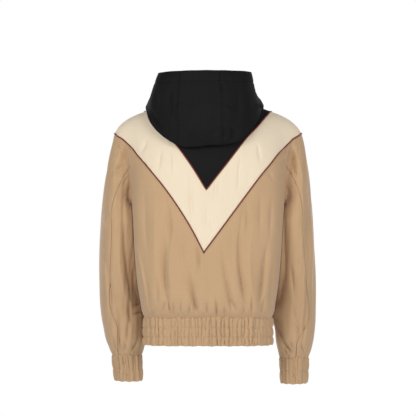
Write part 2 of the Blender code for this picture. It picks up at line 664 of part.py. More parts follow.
def tube(name, points, normals, radius, sides=5):
    """A round cord along points, with a flat end at each end."""
    along_line = unit(np.gradient(points, axis=0))
    rings = []
    for k in range(len(points)):
        across = unit(np.cross(along_line[k], normals[k]))
        up = unit(np.cross(across, along_line[k]))
        angles = 2 * math.pi * (np.arange(sides) + 0.5) / sides
        rings.append(points[k] + radius * (np.cos(angles)[:, None] * across + np.sin(angles)[:, None] * up))
    stack = np.vstack(rings)
    faces = [tuple(range(sides))[::-1], tuple(range((len(points) - 1) * sides, len(points) * sides))]
    for k in range(len(points) - 1):
        for j in range(sides):
            m = (j + 1) % sides
            faces.append((k * sides + j, k * sides + m, (k + 1) * sides + m, (k + 1) * sides + j))
    if signed_volume(stack, faces) < 0:
        faces = [face[::-1] for face in faces]
    return add_mesh(name, stack, faces)


def ruled(low, high, rows):
    """(s, w) of a patch between two seam lines given column by column."""
    t = np.linspace(0, 1, rows + 1)[:, None, None]
    return low[None] * (1 - t) + high[None] * t


def trunk_panel(name, face, low, high, rows, edges):
    """A panel of the trunk between two lines of (signed s, w); edges as for inset."""
    grid = ruled(low, high, rows)
    points = trunk(face, grid[..., 0], grid[..., 1])
    normals = trunk_normal(face, grid[..., 0], grid[..., 1])
    points = inset(points, normals, **edges)
    return shell(name, points, points - normals * CLOTH)


# ------------------------------------------------------------------ materials
def material(name, colour, roughness, metallic=0.0):
    made = bpy.data.materials.new(name)
    made.use_nodes = True
    bsdf = made.node_tree.nodes["Principled BSDF"]
    bsdf.inputs["Base Color"].default_value = colour
    bsdf.inputs["Roughness"].default_value = roughness
    bsdf.inputs["Metallic"].default_value = metallic
    return made


# === build
for old in list(bpy.data.objects):
    bpy.data.objects.remove(old, do_unlink=True)

BEIGE = material("beige_cloth", (0.53, 0.36, 0.22, 1), 0.85)
CREAM = material("cream_cloth", (0.83, 0.73, 0.56, 1), 0.85)
BLACK = material("black_cloth", (0.017, 0.017, 0.019, 1), 0.85)
PIPING = material("piping_cloth", (0.14, 0.035, 0.025, 1), 0.7)
TAPE = material("zip_tape_cloth", (0.02, 0.02, 0.02, 1), 0.8)
METAL = material("dark_metal", (0.10, 0.09, 0.085, 1), 0.35, 1.0)


def paint(obj, look):
    obj.data.materials.append(look)


SEAM = SEAM_GAP / 2
PIPED = PIPING_RADIUS + SEAM_GAP
SIGN = {"left": 1.0, "right": -1.0}


def signed(line, side):
    return line * np.array([SIGN[side], 1.0])


def both_ways(left, right):
    """One line from the wearer's right to the left, out of the two sides' lines from the middle."""
    return np.vstack([signed(right, "right")[::-1], signed(left, "left")[1:]])


def half_lines(face, side):
    """The hem line and the top line (outer V, then armhole) of one side of the trunk's lower part."""
    top_v = v_line(OUTER_V, face, side, SHOULDER_X, outer_v_shares(face, side)[: V_STEPS + 1])
    arm = armhole(face, side, V_SHARE + (1 - V_SHARE) * np.linspace(0, 1, ARM_STEPS + 1)[1:])
    foot = np.linspace(0, 1, V_STEPS + ARM_STEPS + 1)
    return np.stack([foot, 0 * foot], axis=-1), np.vstack([top_v, arm])


def outer_line(face, side):
    return v_line(OUTER_V, face, side, SHOULDER_X, outer_v_shares(face, side))


def inner_line(face, side):
    return v_line(INNER_V, face, side, INNER_V_X, np.linspace(0, 1, V_STEPS + TIP_STEPS + 1))


def neck_half(face):
    share = np.linspace(0, 1, V_STEPS + TIP_STEPS + 1)
    return np.stack([along(NECK[face], NECK_COLUMNS, name, share) for name in ("s", "w")], axis=-1)


# The trunk: back, fronts, chevron band and yoke.
BODY_ROWS = 8
TOP_EDGE = np.concatenate([np.full(V_STEPS, PIPED), np.full(ARM_STEPS, SEAM)])
(left_hem, left_top), (right_hem, right_top) = (half_lines("back", side) for side in SIGN)
hem, top = both_ways(left_hem, right_hem), both_ways(left_top, right_top)
edges = dict(low=SEAM, high=np.concatenate([TOP_EDGE[::-1], TOP_EDGE]), left=SEAM, right=SEAM)
paint(trunk_panel("body_back", "back", hem, top, BODY_ROWS, edges), BEIGE)
low = both_ways(*(outer_line("back", side) for side in SIGN))
high = both_ways(*(inner_line("back", side) for side in SIGN))
edges = dict(low=PIPED, high=PIPED, left=SEAM, right=SEAM)
paint(trunk_panel("band_back", "back", low, high, 3, edges), CREAM)
neck = both_ways(neck_half("back"), neck_half("back"))
edges = dict(low=PIPED, high=SEAM, left=SEAM, right=SEAM)
paint(trunk_panel("yoke_back", "back", high, neck, 3, edges), BLACK)
for side in SIGN:
    hem, top = (signed(line, side) for line in half_lines("front", side))
    edges = dict(low=SEAM, high=TOP_EDGE, left=HALF_ZIP, right=SEAM)
    paint(trunk_panel("front_" + side, "front", hem, top, BODY_ROWS, edges), BEIGE)
    low, high = signed(outer_line("front", side), side), signed(inner_line("front", side), side)
    edges = dict(low=PIPED, high=PIPED, left=HALF_ZIP, right=SEAM)
    paint(trunk_panel("band_front_" + side, "front", low, high, 3, edges), CREAM)
    edges = dict(low=PIPED, high=SEAM, left=HALF_ZIP, right=SEAM)
    paint(trunk_panel("yoke_front_" + side, "front", high, signed(neck_half("front"), side), 3, edges), BLACK)


# The piping: one cord along each V, from the zip over a shoulder, down and up the back, to the zip.
def cord_line(lines):
    parts, normals = [], []
    for face, line in lines:
        parts.append(trunk(face, line[:, 0], line[:, 1]))
        normals.append(trunk_normal(face, line[:, 0], line[:, 1]))
    keep = [p if k == 0 else p[1:] for k, p in enumerate(parts)]
    ways = [n if k == 0 else n[1:] for k, n in enumerate(normals)]
    return np.vstack(keep), np.vstack(ways)


for name, make in (("piping_outer", outer_line), ("piping_inner", inner_line)):
    route = (
        ("front", signed(make("front", "right"), "right")),
        ("back", signed(make("back", "right"), "right")[::-1]),
        ("back", signed(make("back", "left"), "left")),
        ("front", signed(make("front", "left"), "left")[::-1]),
    )
    line, ways = cord_line(route)
    for end, inner in ((0, 1), (-1, -2)):
        share = (HALF_ZIP + 0.0002) / abs(line[inner, 0] - line[end, 0])
        line[end] = line[end] + (line[inner] - line[end]) * share
    paint(tube(name, line, ways, PIPING_RADIUS), PIPING)


# The sleeves.
SLEEVE_ROWS = np.array([0, 0.045, 0.10, 0.17, 0.24, 0.31, 0.45, 0.59, 0.73, 0.84, 0.93, 1.0])
TIP = V_SHARE / 2 * np.linspace(0, 1, TIP_STEPS + 1)
ARM = (V_SHARE + (1 - V_SHARE) * np.linspace(0, 1, ARM_STEPS + 1)) / 2
BACK_SEAM, FRONT_SEAM = 3, 6


def sleeve_piece(name, side, places, steps):
    """A piece of sleeve whose top edge has these places; its columns follow the sleeve seams down."""
    v = SLEEVE_ROWS
    back = along(SLEEVE_SEAMS[side], SEAM_COLUMNS, "back", v)
    front = along(SLEEVE_SEAMS[side], SEAM_COLUMNS, "front", v)
    first, last = (front - 1, back) if places[0] < 0 else (back, front)
    share = (places - places[0]) / (places[-1] - places[0])
    grid = first[:, None] + (last - first)[:, None] * share[None]
    grid[0] = places
    rows = np.broadcast_to(v[:, None], grid.shape)
    points = sleeve(side, grid % 1.0, rows)
    normals = sleeve_normal(side, grid % 1.0, rows)
    trunk_way = armhole_point(side, places % 1.0)[1]
    leaving = unit(points[1] - points[0])
    valley = (leaving * trunk_way).sum(axis=1) > 0
    wall_ways = np.array(normals)
    wall_ways[0] = np.where(valley[:, None], normals[0], trunk_way)
    moved = inset(points, normals, low=steps, high=SEAM, left=SEAM, right=SEAM)
    plain = (np.abs((places + 0.5) % 1.0 - 0.5) > V_SHARE / 2 - 1e-6)[:, None]
    moved[0] += trunk_way * SEAM_GAP * plain
    paint(shell(name, moved, moved - wall_ways * CLOTH), BEIGE)


for side in SIGN:
    front = -ARM[: FRONT_SEAM + 1][::-1]
    upper = np.concatenate([front, -TIP[::-1][1:], TIP[1:], ARM[1 : BACK_SEAM + 1]])
    steps = np.repeat([SEAM, PIPED, SEAM], [FRONT_SEAM, 2 * TIP_STEPS, BACK_SEAM])
    sleeve_piece("sleeve_upper_" + side, side, upper, steps)
    under = np.concatenate([ARM[BACK_SEAM:], 1 - ARM[FRONT_SEAM:][::-1][1:]])
    sleeve_piece("sleeve_under_" + side, side, under, np.full(len(under) - 1, SEAM))


# The hem band and the cuffs: gathered over elastic, in channels.
def channels(t, count, depth):
    return depth * np.abs(np.sin(math.pi * count * t)) ** 0.7


def hem_band(name):
    turns = np.linspace(0, 1, 10)
    rows = np.linspace(0, 1, 7)
    across = []
    route = [("front", -s) for s in turns] + [("back", -s) for s in turns[::-1][1:]]
    route += [("back", s) for s in turns[1:]] + [("front", s) for s in turns[::-1][1:]]
    for face, s in route:
        across.append((trunk(face, s, 0.0), trunk_normal(face, s, 0.0)))
    line, ways = np.array([p for p, _ in across]), np.array([n for _, n in across])
    z = HEM_SEAM - SEAM_GAP + (HEM_BOTTOM - HEM_SEAM + SEAM_GAP) * rows
    out = channels(rows, 3, 0.0022) + 0.0012 * ease(rows / 0.2)
    grid = line[None] + ways[None] * out[:, None, None]
    grid[..., 2] = z[:, None]
    normals = np.broadcast_to(ways, grid.shape)
    grid = inset(grid, normals, left=HALF_ZIP, right=HALF_ZIP)
    paint(shell(name, grid, grid - normals * BAND_CLOTH), BEIGE)


def cuff(name, side):
    top = SLEEVE[side][-1][0]
    angles = np.linspace(0, 360, 21)[:-1]
    rows = np.linspace(0, 1, 5)
    ring_points = sleeve_ring(side, np.full(angles.shape, top), angles)
    centre = ring_points.mean(axis=0)
    ways = unit((ring_points - centre) * np.array([1, 1, 0]))
    out = channels(rows, 2, 0.0018) + 0.0008
    grid = ring_points[None] + ways[None] * out[:, None, None]
    grid[..., 2] = (top - SEAM_GAP - (CUFF_DEPTH - SEAM_GAP) * rows)[:, None]
    normals = np.broadcast_to(ways, grid.shape)
    paint(shell(name, grid, grid - normals * BAND_CLOTH, ring_round=True), BEIGE)


hem_band("hem_band")
for side in SIGN:
    cuff("cuff_" + side, side)


# The hood: two sides and a centre strip, each a closed wall round the empty bag.
UNDER_ROWS = np.linspace(0, HOOD_UNDER, 4)
HOOD_ROWS = np.concatenate([UNDER_ROWS[:-1], np.linspace(HOOD_UNDER, 1, 6)])
HOOD_PIECES = (
    ("hood_right", -1.0, HOOD_SEAMS[0], HALF_ZIP, SEAM),
    ("hood_centre", HOOD_SEAMS[0], HOOD_SEAMS[1], SEAM, SEAM),
    ("hood_left", HOOD_SEAMS[1], 1.0, SEAM, HALF_ZIP),
)
HOOD_STEP = 0.5 / (V_STEPS + TIP_STEPS)
for name, start, end, first, last in HOOD_PIECES:
    turns = np.arange(start, end + 1e-6, HOOD_STEP)
    points = hood(turns, HOOD_ROWS)
    d = 1e-3
    across = (hood(np.minimum(turns + d, 1.0), HOOD_ROWS) - hood(np.maximum(turns - d, -1.0), HOOD_ROWS))
    normals = unit(np.cross(np.gradient(points, axis=0), across))
    moved = inset(points, normals, left=first, right=last)
    paint(shell(name, moved, moved - normals * HOOD_CLOTH), BLACK)


# The front zip: a tape behind each front edge, and a slider near the top with its pull tab.
ZIP_TOP_W = 1.330       # where the tapes end, just under the neck seam
TAPE_INNER, TAPE_OUTER, TAPE_CLOTH = 0.0012, 0.0150, 0.0008
TAPE_DEPTH = 0.0030     # how far behind the trunk's form the tapes lie
SLIDER_W = 1.270
ZIP_STEPS = 20
ZIP_W = np.linspace(ZIP_TOP_W, 0.0, ZIP_STEPS)
ROUND_S = 0.06          # a column of the trunk near the middle, to read its roundness there


def zip_line():
    """Points and directions down the middle of the front, from the top of the tapes to the hem."""
    w = ZIP_W
    points, ways = trunk("front", 0 * w, w), trunk_normal("front", 0 * w, w)
    foot = np.array(points[-1])
    foot[2] = HEM_BOTTOM
    return np.vstack([points, foot]), np.vstack([ways, ways[-1]])


def zip_tape(name, side):
    line, ways = zip_line()
    columns = []
    for x in (TAPE_INNER, TAPE_OUTER):
        # The tape follows the trunk's round front.
        row = np.array(line)
        row[:, 0] = SIGN[side] * x
        columns.append(row - ways * TAPE_DEPTH)
    drop = trunk("front", np.full(ZIP_STEPS, ROUND_S), ZIP_W)
    sag = (drop[:, 1] - line[:-1, 1]) * (TAPE_OUTER / drop[:, 0]) ** 2
    columns[1][:-1, 1] += sag + 0.0005
    columns[1][-1, 1] += sag[-1] + 0.0005
    grid = np.stack(columns, axis=1)
    ways = np.broadcast_to(ways[:, None, :], grid.shape)
    paint(shell(name, grid, grid - ways * TAPE_CLOTH), TAPE)


def block(name, low, high, frame, bevel=0.0):
    """A box between two corners (across, out, up) in a frame of an origin and three directions."""
    origin, axes = frame
    corners = [(x, y, z) for x in (low[0], high[0]) for y in (low[1], high[1]) for z in (low[2], high[2])]
    points = [origin + axes[0] * x + axes[1] * y + axes[2] * z for x, y, z in corners]
    faces = [(0, 1, 3, 2), (4, 6, 7, 5), (0, 4, 5, 1), (2, 3, 7, 6), (0, 2, 6, 4), (1, 5, 7, 3)]
    if signed_volume(points, faces) < 0:
        faces = [face[::-1] for face in faces]
    obj = add_mesh(name, points, faces)
    if bevel:
        rounding = obj.modifiers.new("rounding", "BEVEL")
        rounding.width = bevel
        rounding.segments = 1
    return obj


def combine(base, other, operation):
    step = base.modifiers.new("combine", "BOOLEAN")
    step.operation = operation
    step.solver = "EXACT"
    step.object = other
    other.hide_render = True
    other.display_type = "WIRE"


for side in SIGN:
    zip_tape("zip_tape_" + side, side)

seat = trunk("front", 0.0, SLIDER_W)
out = trunk_normal("front", 0.0, SLIDER_W)
seat = seat - out * TAPE_DEPTH
RIGHT = np.array([1.0, 0.0, 0.0])
UP = unit(np.cross(out, RIGHT))
FRAME = (seat, (RIGHT, out, UP))
slider = block("zip_slider", (-0.0040, 0.0008, -0.0055), (0.0040, 0.0022, 0.0055), FRAME, 0.0004)
back_plate = block("slider_back", (-0.0040, -0.0030, -0.0055), (0.0040, -0.0016, 0.0055), FRAME, 0.0004)
post = block("slider_post", (-0.0008, -0.0022, 0.0020), (0.0008, 0.0014, 0.0050), FRAME)
combine(slider, back_plate, "UNION")
combine(slider, post, "UNION")
for low, high in (
    ((-0.0008, 0.0014, 0.0030), (0.0008, 0.0056, 0.0042)),
    ((-0.0008, 0.0014, -0.0042), (0.0008, 0.0056, -0.0030)),
    ((-0.0008, 0.0047, -0.0042), (0.0008, 0.0058, 0.0042)),
):
    combine(slider, block("slider_bridge", low, high, FRAME), "UNION")
paint(slider, METAL)

pull = block("zip_pull", (-0.0028, 0.0028, -0.0270), (0.0028, 0.0040, 0.0022), FRAME, 0.0003)
window = block("pull_window", (-0.0014, 0.0020, -0.0070), (0.0014, 0.0045, 0.0008), FRAME)
combine(pull, window, "DIFFERENCE")
paint(pull, METAL)
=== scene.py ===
# %% [markdown]
# # A hooded bomber jacket
# The jacket is filled out as if it were worn, with nobody in it. Its frame holds one plain, faceted
# solid for each piece that a maker would cut. This lesson lays real cloth over those solids: thin
# shells with creases, gathers, seams and stitches, and a finish for each cloth.
# Metres, +Z up. The wearer faces -Y, so the wearer's left is +X.

# %% Load the frame
import functools
import math
import random

import bpy
import numpy as np
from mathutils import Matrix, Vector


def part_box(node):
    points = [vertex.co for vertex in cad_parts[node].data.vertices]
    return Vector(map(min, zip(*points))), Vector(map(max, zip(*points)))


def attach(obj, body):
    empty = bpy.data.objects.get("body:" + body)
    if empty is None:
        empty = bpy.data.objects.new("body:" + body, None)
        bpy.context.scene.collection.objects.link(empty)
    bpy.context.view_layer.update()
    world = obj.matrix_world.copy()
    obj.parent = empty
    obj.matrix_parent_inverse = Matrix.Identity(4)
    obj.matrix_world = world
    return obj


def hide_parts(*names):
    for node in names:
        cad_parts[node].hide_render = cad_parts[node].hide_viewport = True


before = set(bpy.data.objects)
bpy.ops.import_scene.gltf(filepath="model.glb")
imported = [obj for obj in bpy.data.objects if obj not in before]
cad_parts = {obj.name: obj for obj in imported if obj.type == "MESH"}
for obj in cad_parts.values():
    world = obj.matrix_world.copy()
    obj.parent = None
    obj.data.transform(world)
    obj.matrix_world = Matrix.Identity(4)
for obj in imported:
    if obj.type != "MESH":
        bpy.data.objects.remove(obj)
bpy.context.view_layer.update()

SIGN = {"left": 1.0, "right": -1.0}

# %% [markdown]
# ## Camera, light and floor
# The camera looks level at the back of the jacket through a very long lens from far off, so that near
# and far parts keep one scale. A white world gives most of the light, and it is even on all sides. Two
# large soft lamps, left and right of the camera, model the folds, and two more do so in front.

# %% Camera
VIEW_WIDTH = 1.123          # what the picture takes in at the jacket
VIEW_HEIGHT = -0.259        # the lens looks level at this height
LENS, SENSOR = 1500.0, 36.0
REFERENCE_Y = 0.07          # the plane that has the view's width: between the back and the side seams

camera = bpy.data.objects.new("camera", bpy.data.cameras.new("camera"))
bpy.context.scene.collection.objects.link(camera)
camera.data.lens, camera.data.sensor_width = LENS, SENSOR
camera.data.clip_end = 100.0
camera.location = (0.0, REFERENCE_Y + VIEW_WIDTH * LENS / SENSOR, VIEW_HEIGHT)
camera.rotation_euler = (math.pi / 2, 0.0, math.pi)
bpy.context.scene.camera = camera
bpy.context.scene.view_settings.view_transform = "Standard"
print("camera stands", round(camera.location.y, 2), "m behind the jacket")

# %% The white world
WORLD_LIGHT = 0.26          # strength of the white world as light
WHITE = (1.0, 1.0, 1.0, 1.0)


def add_node(tree, kind, **values):
    """A new shader node with these values on its own sockets. A _ in a name stands for a space."""
    made = tree.nodes.new("ShaderNode" + kind)
    for name, value in values.items():
        made.inputs[name.replace("_", " ")].default_value = value
    return made


world = bpy.data.worlds.new("white studio")
bpy.context.scene.world = world
world.use_nodes = True
tree = world.node_tree
background = tree.nodes["Background"]
background.inputs["Color"].default_value = WHITE
background.inputs["Strength"].default_value = WORLD_LIGHT
seen = add_node(tree, "Background", Color=WHITE)
path, choose = add_node(tree, "LightPath"), add_node(tree, "MixShader")
for start, end in (
    (path.outputs["Is Camera Ray"], choose.inputs["Fac"]),
    (background.outputs[0], choose.inputs[1]),
    (seen.outputs[0], choose.inputs[2]),
    (choose.outputs[0], tree.nodes["World Output"].inputs["Surface"]),
):
    tree.links.new(start, end)
print("the world lights at", WORLD_LIGHT, "and is seen as white")

# %% Lamps and floor
KEY_LIGHT, FILL_LIGHT = 49.0, 42.0      # watts
LAMP_SIZE = 1.3
FLOOR_SIZE = 5.5
FLOOR_DROP = 0.35           # the jacket hangs this far off the floor


def lamp(name, place, aim, watts):
    """A square soft lamp that points from one place at another."""
    data = bpy.data.lights.new(name, "AREA")
    data.shape, data.size, data.energy = "SQUARE", LAMP_SIZE, watts
    obj = bpy.data.objects.new(name, data)
    bpy.context.scene.collection.objects.link(obj)
    obj.location = place
    way = [b - a for a, b in zip(place, aim)]
    obj.rotation_euler = Vector(way).to_track_quat("-Z", "Y").to_euler()


MIDDLE = (0.0, 0.0, VIEW_HEIGHT)
for end, way in (("back", 1), ("front", -1)):
    lamp("key lamp, " + end, (way * 1.9, way * 2.6, 0.8), MIDDLE, KEY_LIGHT)
    lamp("fill lamp, " + end, (way * -1.7, way * 2.8, 0.5), MIDDLE, FILL_LIGHT)

floor_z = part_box("cuff_right")[0].z - FLOOR_DROP
bpy.ops.object.select_all(action="DESELECT")
bpy.ops.mesh.primitive_plane_add(size=FLOOR_SIZE, location=(0.0, 0.0, floor_z))
floor = bpy.context.object
floor.name = "floor"
print("floor", FLOOR_DROP, "m under the lowest cuff")

# %% [markdown]
# ## The form of the jacket
# A sewn jacket isn't a solid, but the air in it gives it one: the trunk is close to a rounded box that
# narrows to the shoulders, and each sleeve is a bent tube. The form is written down as rings, one row
# of sizes for each height, and smooth curves fill in between the rows. Every panel is then a patch
# cut out of that form by its seams, so that neighbours always meet.
# A place on the trunk is trunk(face, s, w): s runs from the middle of the back or front (0) to the side
# seam (1), and w from the hem seam (0) over the shoulder blades (1) to the shoulder line (2).

# %% Curves through the rows of a table
HEM_SEAM, BLADES = -0.556, -0.200
HEM_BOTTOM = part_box("hem_band")[0].z


def column(table, names, name):
    return np.array([row[names.index(name)] for row in table], float)


def curve(xs, ys, x):
    """A smooth curve through the points, held level past its ends."""
    xs, ys, x = (np.asarray(a, float) for a in (xs, ys, x))
    if len(xs) < 3:
        return np.interp(x, xs, ys)
    slope = np.gradient(ys, xs)
    k = np.clip(np.searchsorted(xs, x) - 1, 0, len(xs) - 2)
    step = xs[k + 1] - xs[k]
    t = np.clip((x - xs[k]) / step, 0.0, 1.0)
    level = (1 + 2 * t) * (1 - t) ** 2 * ys[k] + t * t * (3 - 2 * t) * ys[k + 1]
    return level + step * (t * (1 - t) ** 2 * slope[k] - t * t * (1 - t) * slope[k + 1])


def along(table, names, name, x):
    return curve(column(table, names, names[0]), column(table, names, name), x)


def unit(v):
    return v / np.maximum(np.linalg.norm(v, axis=-1, keepdims=True), 1e-12)


def ease(t):
    t = np.clip(t, 0.0, 1.0)
    return t * t * (3 - 2 * t)

# %% The trunk's rings and its shoulder line
BACK_SQUARE, FRONT_SQUARE = 2.6, 2.1    # exponents of the rings: 2 is an ellipse, more is squarer
BACK_TURN, FRONT_TURN = 2.2, 1.9        # the same, for the turn up to the shoulder line

TRUNK_COLUMNS = ("z", "half_width", "side_y", "back_y", "front_y")
TRUNK = (
    (-0.556, 0.1715, 0.010, 0.112, -0.122),
    (-0.542, 0.1775, 0.016, 0.125, -0.136),
    (-0.515, 0.1825, 0.024, 0.136, -0.148),
    (-0.470, 0.1895, 0.032, 0.141, -0.154),
    (-0.400, 0.1965, 0.038, 0.140, -0.155),
    (-0.300, 0.2025, 0.038, 0.137, -0.153),
    (-0.240, 0.2065, 0.030, 0.134, -0.150),
    (-0.200, 0.2085, 0.020, 0.132, -0.148),
)
RIDGE_COLUMNS = ("x", "y", "z")         # the shoulder line, from the neck to past the shoulder tip
RIDGE = (
    (0.000, 0.000, 0.060),
    (0.085, 0.000, 0.031),
    (0.172, 0.000, 0.001),
    (0.202, 0.000, -0.011),
    (0.228, 0.000, -0.027),
    (0.243, 0.000, -0.042),
    (0.2535, 0.000, -0.059),
    (0.275, 0.000, -0.105),
    (0.300, 0.000, -0.170),
)
TOP_COLUMNS = ("s", "x")                # where each column of the trunk ends on the shoulder line
TOPS = ((0.00, 0.000), (0.30, 0.085), (0.60, 0.172), (0.85, 0.2535), (1.00, 0.300))
print("trunk:", len(TRUNK), "rings, chest", round(2 * TRUNK[4][1], 3), "m across")

# %% A point of the trunk
def rounded(turn, square):
    """(across, along) on a rounded quarter, turn 0 straight ahead and 1 fully across."""
    c = np.abs(np.cos(turn * math.pi / 2))
    s = np.abs(np.sin(turn * math.pi / 2))
    reach = (c ** square + s ** square) ** (-1 / square)
    return reach * s, reach * c


def ring_sizes(face, z):
    z = np.clip(z, HEM_SEAM, BLADES)
    return [along(TRUNK, TRUNK_COLUMNS, name, z) for name in ("half_width", "side_y", face + "_y")]


def ridge(x):
    return along(RIDGE, RIDGE_COLUMNS, "y", x), along(RIDGE, RIDGE_COLUMNS, "z", x)


def smooth_trunk(face, s, w):
    """A point of the trunk without its creases. s is below zero on the wearer's right."""
    side = np.where(np.asarray(s) < 0, -1.0, 1.0)
    s, w = np.broadcast_arrays(np.abs(np.asarray(s, float)), np.asarray(w, float))
    low_z = HEM_SEAM + np.minimum(w, 1.0) * (BLADES - HEM_SEAM)
    half, side_y, far = ring_sizes(face, low_z)
    across, ahead = rounded(s, BACK_SQUARE if face == "back" else FRONT_SQUARE)
    x, y = half * across, side_y + (far - side_y) * ahead
    top_x = along(TOPS, TOP_COLUMNS, "x", s)
    top_y, top_z = ridge(top_x)
    up, on = rounded(np.clip(w - 1, 0.0, 1.0), BACK_TURN if face == "back" else FRONT_TURN)
    return np.stack([
        side * (x + (top_x - x) * up ** 2),
        y + (top_y - y) * (1 - on),
        low_z + (top_z - BLADES) * up,
    ], axis=-1)


print("middle of the back at the shoulder blades:", smooth_trunk("back", 0.0, 1.0).round(3))

# %% Square to the trunk
def trunk_normal(face, s, w):
    """Square to the trunk, facing out, and level along the hem seam."""
    s, w = np.broadcast_arrays(np.asarray(s, float), np.asarray(w, float))
    d = 1e-4
    sign = np.where(s < 0, -1.0, 1.0)
    a, b = np.clip(np.abs(s), d, 1 - d), np.clip(w, d, 2 - d)
    across = smooth_trunk(face, a + d, b) - smooth_trunk(face, a - d, b)
    up = smooth_trunk(face, a, b + d) - smooth_trunk(face, a, b - d)
    n = unit(np.cross(across, up)) * (1.0 if face == "front" else -1.0)
    n[..., 0] *= np.where(np.abs(s) < d, 0.0, sign)
    n[..., 2] = np.where(w < 1e-3, 0.0, n[..., 2])
    top_x = along(TOPS, TOP_COLUMNS, "x", a)
    drop = (ridge(top_x + d)[1] - ridge(top_x - d)[1]) / (2 * d)
    shared = unit(np.stack([-drop * sign, np.zeros_like(drop), np.ones_like(drop)], axis=-1))
    blend = np.clip((w - 1.9) / 0.1, 0, 1)[..., None]
    return unit(n * (1 - blend) + shared * blend)


print("and the way it faces:", trunk_normal("back", 0.0, 1.0).round(2))

# %% [markdown]
# ## Creases
# Cloth that hangs from the shoulders and is gathered in at the hem can't stay smooth: soft troughs run
# down it, long or short, and each fades out at its own pace. Cloth simulation gives such folds at
# random. Here each one is listed, as a line through three points with a width and a depth,
# and the cloth sinks (or, with a negative depth, rises) beside that line.

# %% Sinking the cloth along a crease
FOLD_DEPTH, FOLD_WIDTH = 2.4, 0.8       # every crease's depth and width times these
FOLD_EDGE = 1.25            # exponent of a crease's section: 2 is a soft bell, less is a sharper valley


def relief(creases, x, z):
    """How far the cloth sinks at each place, beside creases through (x0, z0), (x1, z1) and (x2, z2)."""
    sunk = np.zeros(np.broadcast(x, z).shape)
    for x0, z0, x1, z1, x2, z2, peak, width, depth in creases:
        t = (z - z0) / (z2 - z0)
        near = np.clip(t, -0.15, 1.15)
        b = (z1 - z0) / (z2 - z0)
        line = x0 * (near - b) * (near - 1) / b + x2 * near * (near - b) / (1 - b)
        line = line + x1 * near * (near - 1) / (b * (b - 1))
        off = np.abs(x - line) / math.hypot(1.0, (x2 - x0) / (z2 - z0)) / (width * FOLD_WIDTH)
        fade = np.where(t < peak, ease(t / peak), ease((1 - t) / (1 - peak)))
        sunk = sunk + FOLD_DEPTH * depth * fade * np.exp(-off ** FOLD_EDGE)
    return sunk


RIPPLE_HEIGHT = 0.00035
RIPPLES = [(rng.uniform(-1, 1), rng.uniform(30, 140), rng.uniform(-12, 12), rng.uniform(0, 6.3))
           for rng in [random.Random(11)] for _ in range(9)]


def ripple(x, z):
    """The faint unevenness of a whole panel."""
    return RIPPLE_HEIGHT * sum(a * np.sin(kx * x + kz * z + p) for a, kx, kz, p in RIPPLES)

# %% The creases of the trunk, in millimetres
CREASE_COLUMNS = ("x0", "z0", "x1", "z1", "x2", "z2", "peak", "width", "depth")
PEAK = "peak"               # the share of a crease's length where it is deepest


def in_metres(rows, names, share):
    """Rows written in millimetres, as metres. The column that is a share or a slope stays as it is."""
    return tuple(tuple(v if name == share else v / 1000 for name, v in zip(names, row)) for row in rows)


